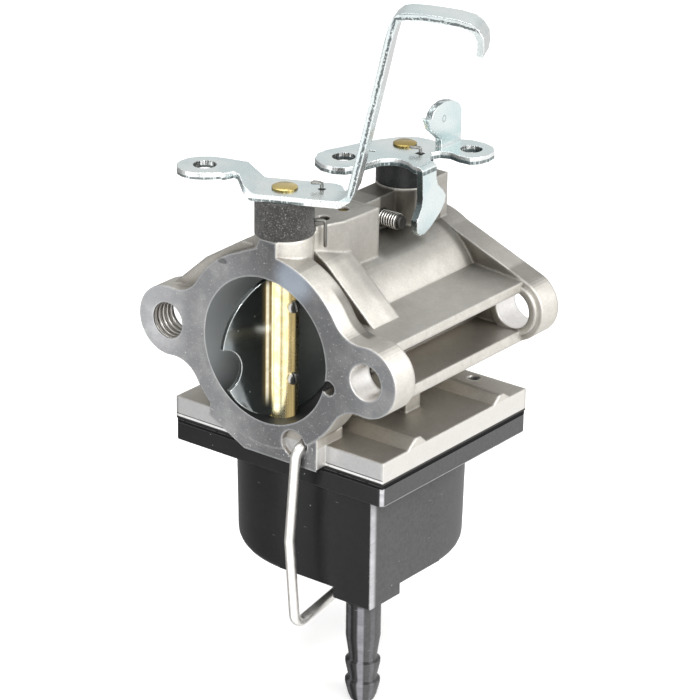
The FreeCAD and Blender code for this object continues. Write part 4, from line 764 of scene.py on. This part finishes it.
def float_foam():
    mat = Mat("float_plastic")
    cloud = mat.noise(scale=0.8, detail=4.0, rough=0.6)
    pores = mat.cells(scale=1.6)
    colour = tint(mix(cloud, (0.035, 0.035, 0.036), (0.07, 0.07, 0.07)), pores, 0.5)
    return mat.surface(Base_Color=colour, Roughness=0.5 + cloud * 0.2,
                       Normal=mat.bump(pores, 0.06, mat.bevel(0.4)))


# ------------------------------------------------------------------ materials on the CAD pieces
cast, plate = casting(), zinc()
brass_head, brass_shaft = brass("head"), brass("shaft")
mirror = mirror_plate("polished_plate")
choke_mirror = mirror_plate("polished_choke_plate", choke=True)
screw_steel, spring_steel, bail_steel = steel("screw"), steel("spring"), steel("bail")
thread_steel = threaded()
felt_look, seal_look, rubber_look = felt_seal(), rubber_seal(), rubber()
bowl_look, float_look = bowl_plastic(), float_foam()

# pieces that aren't listed are screw steel
LOOK = {
    "carburetor_body": cast, "choke_lever": plate, "throttle_lever": plate,
    "choke_shaft": brass_shaft, "throttle_shaft": brass_shaft,
    "main_nozzle": brass_head, "main_jet": brass_head, "idle_jet": brass_head,
    "inlet_seat": brass_head, "choke_plate": choke_mirror, "throttle_plate": mirror,
    "idle_speed_screw": thread_steel, "idle_screw_spring": spring_steel,
    "choke_spring": spring_steel, "throttle_spring": spring_steel, "bail_wire": bail_steel,
    "choke_seal": felt_look, "throttle_seal": seal_look, "bowl_gasket": rubber_look,
    "fuel_port_seal": rubber_look, "float_bowl": bowl_look, "bowl_float": float_look,
}
WELD_DISTANCE = 2e-6     # metres
SHARP_ANGLE = math.radians(32)


def smooth_group():
    """Joins the tessellation's doubled corners and shades smooth across the flatter edges."""
    group = bpy.data.node_groups.new("shade_by_angle", "GeometryNodeTree")
    for way in ("INPUT", "OUTPUT"):
        group.interface.new_socket("Geometry", in_out=way, socket_type="NodeSocketGeometry")
    new, link = group.nodes.new, group.links.new
    source, result = new("NodeGroupInput"), new("NodeGroupOutput")
    weld = new("GeometryNodeMergeByDistance")
    weld.inputs["Distance"].default_value = WELD_DISTANCE
    smooth = new("GeometryNodeSetShadeSmooth")
    smooth.domain = "FACE"
    sharp = new("GeometryNodeSetShadeSmooth")
    sharp.domain = "EDGE"
    sharp.inputs["Shade Smooth"].default_value = False
    angle = new("GeometryNodeInputMeshEdgeAngle")
    steep = new("FunctionNodeCompare")
    steep.data_type, steep.operation = "FLOAT", "GREATER_THAN"
    steep.inputs[1].default_value = SHARP_ANGLE
    link(source.outputs[0], weld.inputs[0])
    link(weld.outputs[0], smooth.inputs[0])
    link(smooth.outputs[0], sharp.inputs[0])
    link(angle.outputs[0], steep.inputs[0])
    link(steep.outputs[0], sharp.inputs["Selection"])
    link(sharp.outputs[0], result.inputs[0])
    return group


shade_by_angle = smooth_group()
for name, piece in nodes.items():
    piece.data.materials.clear()
    piece.data.materials.append(LOOK.get(name, screw_steel))
    piece.modifiers.new("shade_by_angle", "NODES").node_group = shade_by_angle


# ------------------------------------------------------------------ wire springs (mm)
COIL_RADIUS = 4.1
STEPS_PER_TURN = 40
BEND_STEPS = 8
WIRE_SIDES = 14
DOME_ANGLES = (math.radians(35), math.radians(65))   # rings of the wire's domed ends
SHORTEST_STEP = 0.03     # points closer than this are dropped


def round_path(points, bend):
    """The points with each inner corner replaced by a smooth turn of about this radius."""
    points = [Vector(point) for point in points]
    path = [points[0]]
    for before, corner, after in zip(points, points[1:], points[2:]):
        to_before, to_after = before - corner, after - corner
        cut = min(bend, to_before.length * 0.48, to_after.length * 0.48)
        enter = corner + to_before.normalized() * cut
        leave = corner + to_after.normalized() * cut
        for k in range(BEND_STEPS + 1):
            s = k / BEND_STEPS
            path.append(enter * (1 - s) ** 2 + corner * 2 * s * (1 - s) + leave * s ** 2)
    path.append(points[-1])
    return path


def wire_rows(points, radius):
    """Centre, direction, side vector and radius of each ring along a wire."""
    direction = (points[1] - points[0]).normalized()
    side = direction.orthogonal().normalized()
    rows = []
    for i, point in enumerate(points):
        ahead = points[min(i + 1, len(points) - 1)]
        tangent = (ahead - points[max(i - 1, 0)]).normalized()
        side = direction.rotation_difference(tangent) @ side
        side = (side - tangent * side.dot(tangent)).normalized()
        direction = tangent
        rows.append((point, tangent, side, radius))

    def dome(row, sign):
        point, tangent, side, _ = row
        return [(point + tangent * sign * radius * math.sin(angle), tangent, side,
                 radius * math.cos(angle)) for angle in DOME_ANGLES]

    return dome(rows[0], -1)[::-1] + rows + dome(rows[-1], 1)


def tube(name, points, radius, material):
    """A round wire along the points, with domed ends, as one closed mesh."""
    kept = [Vector(points[0])]
    for point in points[1:]:
        if (Vector(point) - kept[-1]).length > SHORTEST_STEP:
            kept.append(Vector(point))
    bm = bmesh.new()
    rings = []
    angles = [2 * math.pi * k / WIRE_SIDES for k in range(WIRE_SIDES)]
    for point, tangent, side, ring_radius in wire_rows(kept, radius):
        other = tangent.cross(side)
        rings.append([bm.verts.new(
            (point + (side * math.cos(a) + other * math.sin(a)) * ring_radius) / MM_PER_M)
            for a in angles])
    for ring, following in zip(rings, rings[1:]):
        for k in range(WIRE_SIDES):
            after = (k + 1) % WIRE_SIDES
            bm.faces.new((ring[k], ring[after], following[after], following[k]))
    bm.faces.new(list(reversed(rings[0])))
    bm.faces.new(rings[-1])
    bmesh.ops.recalc_face_normals(bm, faces=bm.faces)
    mesh = bpy.data.meshes.new(name)
    bm.to_mesh(mesh)
    bm.free()
    for polygon in mesh.polygons:
        polygon.use_smooth = True
    mesh.materials.append(material)
    wire = bpy.data.objects.new(name, mesh)
    scene.collection.objects.link(wire)
    return wire


def torsion_spring(side, axis_y, foot, foot_z, start_angle, coil_z, whole_turns, hook, hook_z,
                   tail, radius):
    """A coil about a shaft, with a leg down at its foot and a hook over the lever.

    Each _z pair is a low and a high height. Foot and hook are x, y from the shaft, and the
    tail is an x, y offset from the hook.
    """
    hook_angle = math.atan2(hook[1], hook[0])
    turns = whole_turns + ((hook_angle - start_angle) % (2 * math.pi)) / (2 * math.pi)
    count = int(turns * STEPS_PER_TURN)
    coil = []
    for k in range(count + 1):
        angle = start_angle + 2 * math.pi * turns * k / count
        coil.append((COIL_RADIUS * math.cos(angle), COIL_RADIUS * math.sin(angle),
                     coil_z[0] + (coil_z[1] - coil_z[0]) * k / count))
    leg = [(*foot, z) for z in foot_z]
    path = round_path(leg + [coil[0]], bend=0.8)[:-1] + [Vector(point) for point in coil]
    path += round_path([
        coil[-1],
        (COIL_RADIUS * math.cos(hook_angle), COIL_RADIUS * math.sin(hook_angle), hook_z[0]),
        (*hook, hook_z[0]),
        (*hook, hook_z[1]),
        (hook[0] + tail[0], hook[1] + tail[1], hook_z[1])], bend=0.7)[1:]
    wire = tube(side + "_spring_wire", [(p[0], p[1] + axis_y, p[2]) for p in path], radius,
                spring_steel)
    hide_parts(side + "_spring")
    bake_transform(wire)


# the choke hook's place along the lever's arm and across it
HOOK_ALONG, HOOK_ACROSS = 7.45, 1.35
arm_cos, arm_sin = math.cos(math.radians(25)), math.sin(math.radians(25))
torsion_spring(
    "choke", CHOKE_Y, foot=(6.75, 4.95), foot_z=(21.6, 27.15),
    start_angle=math.atan2(4.6, 6.9), coil_z=(27.2, 31.0), whole_turns=3.0,
    hook=(arm_cos * HOOK_ALONG - arm_sin * HOOK_ACROSS,
          arm_sin * HOOK_ALONG + arm_cos * HOOK_ACROSS),
    hook_z=(31.85, 35.35), tail=(-1.45, -1.25), radius=0.38)
torsion_spring(
    "throttle", THROTTLE_Y, foot=(-1.75, 6.75), foot_z=(22.4, 26.75),
    start_angle=math.radians(105), coil_z=(26.75, 29.6), whole_turns=2.0,
    hook=(5.9, -2.4), hook_z=(30.2, 33.55), tail=(-1.7, -1.2), radius=0.36)


# ------------------------------------------------------------------ floor (metres from here)
FLOOR_HALF = 6.0


def floor_material():
    """Pale matt floor, seen only by the camera, so the metal mirrors the studio light alone."""
    mat = Mat("pale_floor")
    cloud = mat.noise(scale=0.02, detail=3.0, rough=0.5)
    mat.surface(Base_Color=mix(cloud, (0.90, 0.90, 0.90), (0.925, 0.925, 0.925)),
                Roughness=0.9, Specular_IOR_Level=0.1,
                Emission_Color=(1.0, 1.0, 1.0), Emission_Strength=0.34)
    camera_ray = out(node(mat.tree, "LightPath"), "Is Camera Ray")
    clear = out(node(mat.tree, "BsdfTransparent"))
    shader = node(mat.tree, "MixShader", {0: camera_ray, 1: clear, 2: out(mat.bsdf)})
    feed(mat.output.inputs[0], out(shader))
    return mat.material


floor_z = BOX_CAD[0].z
mesh = bpy.data.meshes.new("floor")
corners = ((-1, -1), (1, -1), (1, 1), (-1, 1))
mesh.from_pydata([(x * FLOOR_HALF, y * FLOOR_HALF, floor_z) for x, y in corners], [],
                 [(0, 1, 2, 3)])
mesh.materials.append(floor_material())
floor = bpy.data.objects.new("floor", mesh)
scene.collection.objects.link(floor)


# ------------------------------------------------------------------ camera
AZIMUTH = math.radians(37.505)      # from straight in front, towards the right
ELEVATION = math.radians(22.838)
ROLL = math.radians(0.808)
TARGET = Vector((0.00153, 0.02689, -0.00807))
CAMERA_DISTANCE = 0.77553

back = Vector((math.sin(AZIMUTH) * math.cos(ELEVATION),
               -math.cos(AZIMUTH) * math.cos(ELEVATION), math.sin(ELEVATION)))
level_right = Vector((math.cos(AZIMUTH), math.sin(AZIMUTH), 0.0))
level_up = back.cross(level_right)
right = level_right * math.cos(ROLL) + level_up * math.sin(ROLL)
up = level_up * math.cos(ROLL) - level_right * math.sin(ROLL)
position = TARGET + back * CAMERA_DISTANCE
lens = bpy.data.cameras.new("camera")
lens.sensor_width, lens.lens = 36.0, 188.27      # mm
lens.clip_start, lens.clip_end = 0.01, 20.0
camera = bpy.data.objects.new("camera", lens)
scene.collection.objects.link(camera)
camera.matrix_world = Matrix((*zip(right, up, back, position), (0, 0, 0, 1)))
scene.camera = camera


# ------------------------------------------------------------------ lights
def panel(name, place, target, width, height, power):
    light = bpy.data.lights.new(name, "AREA")
    light.shape, light.size, light.size_y, light.energy = "RECTANGLE", width, height, power
    light.spread = math.radians(180)
    lamp = bpy.data.objects.new(name, light)
    scene.collection.objects.link(lamp)
    lamp.location = place
    lamp.rotation_mode = "QUATERNION"
    lamp.rotation_quaternion = (Vector(target) - Vector(place)).to_track_quat("-Z", "Y")


panel("top_panel", place=(-0.15, -0.05, 0.85), target=(0, 0.03, 0),
      width=0.7, height=0.7, power=3.4)
panel("right_panel", place=(0.70, 0.10, 0.35), target=(0, 0.03, 0),
      width=0.35, height=0.5, power=3.2)
panel("front_panel", place=(0.45, -0.62, 0.55), target=(0, 0.03, -0.01),
      width=0.22, height=0.22, power=2.4)

# brightness around the studio: degrees (0 in front of the intake, 90 to the right), strength
AROUND = [
    (-180, 0.62), (-148, 0.80), (-115, 0.35), (-90, 0.30), (-39, 0.42), (-27, 1.90),
    (8, 1.95), (16, 0.20), (25, 0.20), (32, 1.70), (72, 1.35), (100, 0.85), (140, 1.08),
    (165, 0.85), (180, 0.62)]
OVERHEAD = 0.74
RAMP_SCALE = 2       # the ramp holds strengths divided by this, to keep them below 1


def studio():
    world = bpy.data.worlds.new("studio")
    scene.world = world
    world.use_nodes = True
    tree = world.node_tree
    tree.nodes.clear()
    background = node(tree, "Background", {0: (1.0, 0.995, 0.985)})
    node(tree, "OutputWorld", {0: out(background)})
    direction = out(node(tree, "TexCoord"), "Generated")
    x, y, z = split(direction)
    turn = calc("ARCTAN2", x, y * -1.0) * (1 / (2 * math.pi)) + 0.5
    ramp = node(tree, "ValToRGB", {0: turn})
    ramp.color_ramp.interpolation = "EASE"
    stops = ramp.color_ramp.elements
    stops.remove(stops[-1])
    for i, (degrees, strength) in enumerate(AROUND):
        at = (degrees + 180) / 360
        stop = stops.new(at) if i else stops[0]
        stop.position = at
        stop.color = (strength / RAMP_SCALE,) * 3 + (1,)
    side_light = split(out(ramp))[0] * float(RAMP_SCALE)
    level = blend(z.step(0.15, 0.60), side_light, OVERHEAD)
    cloud = noise_at(direction, scale=1.4, detail=2.0, rough=0.5)
    feed(background.inputs[1], level * cloud.vary(0.88, 1.12))


studio()
scene.view_settings.view_transform = "Standard"
scene.view_settings.look = "None"
scene.view_settings.exposure = 0.0
scene.view_settings.gamma = 1.0
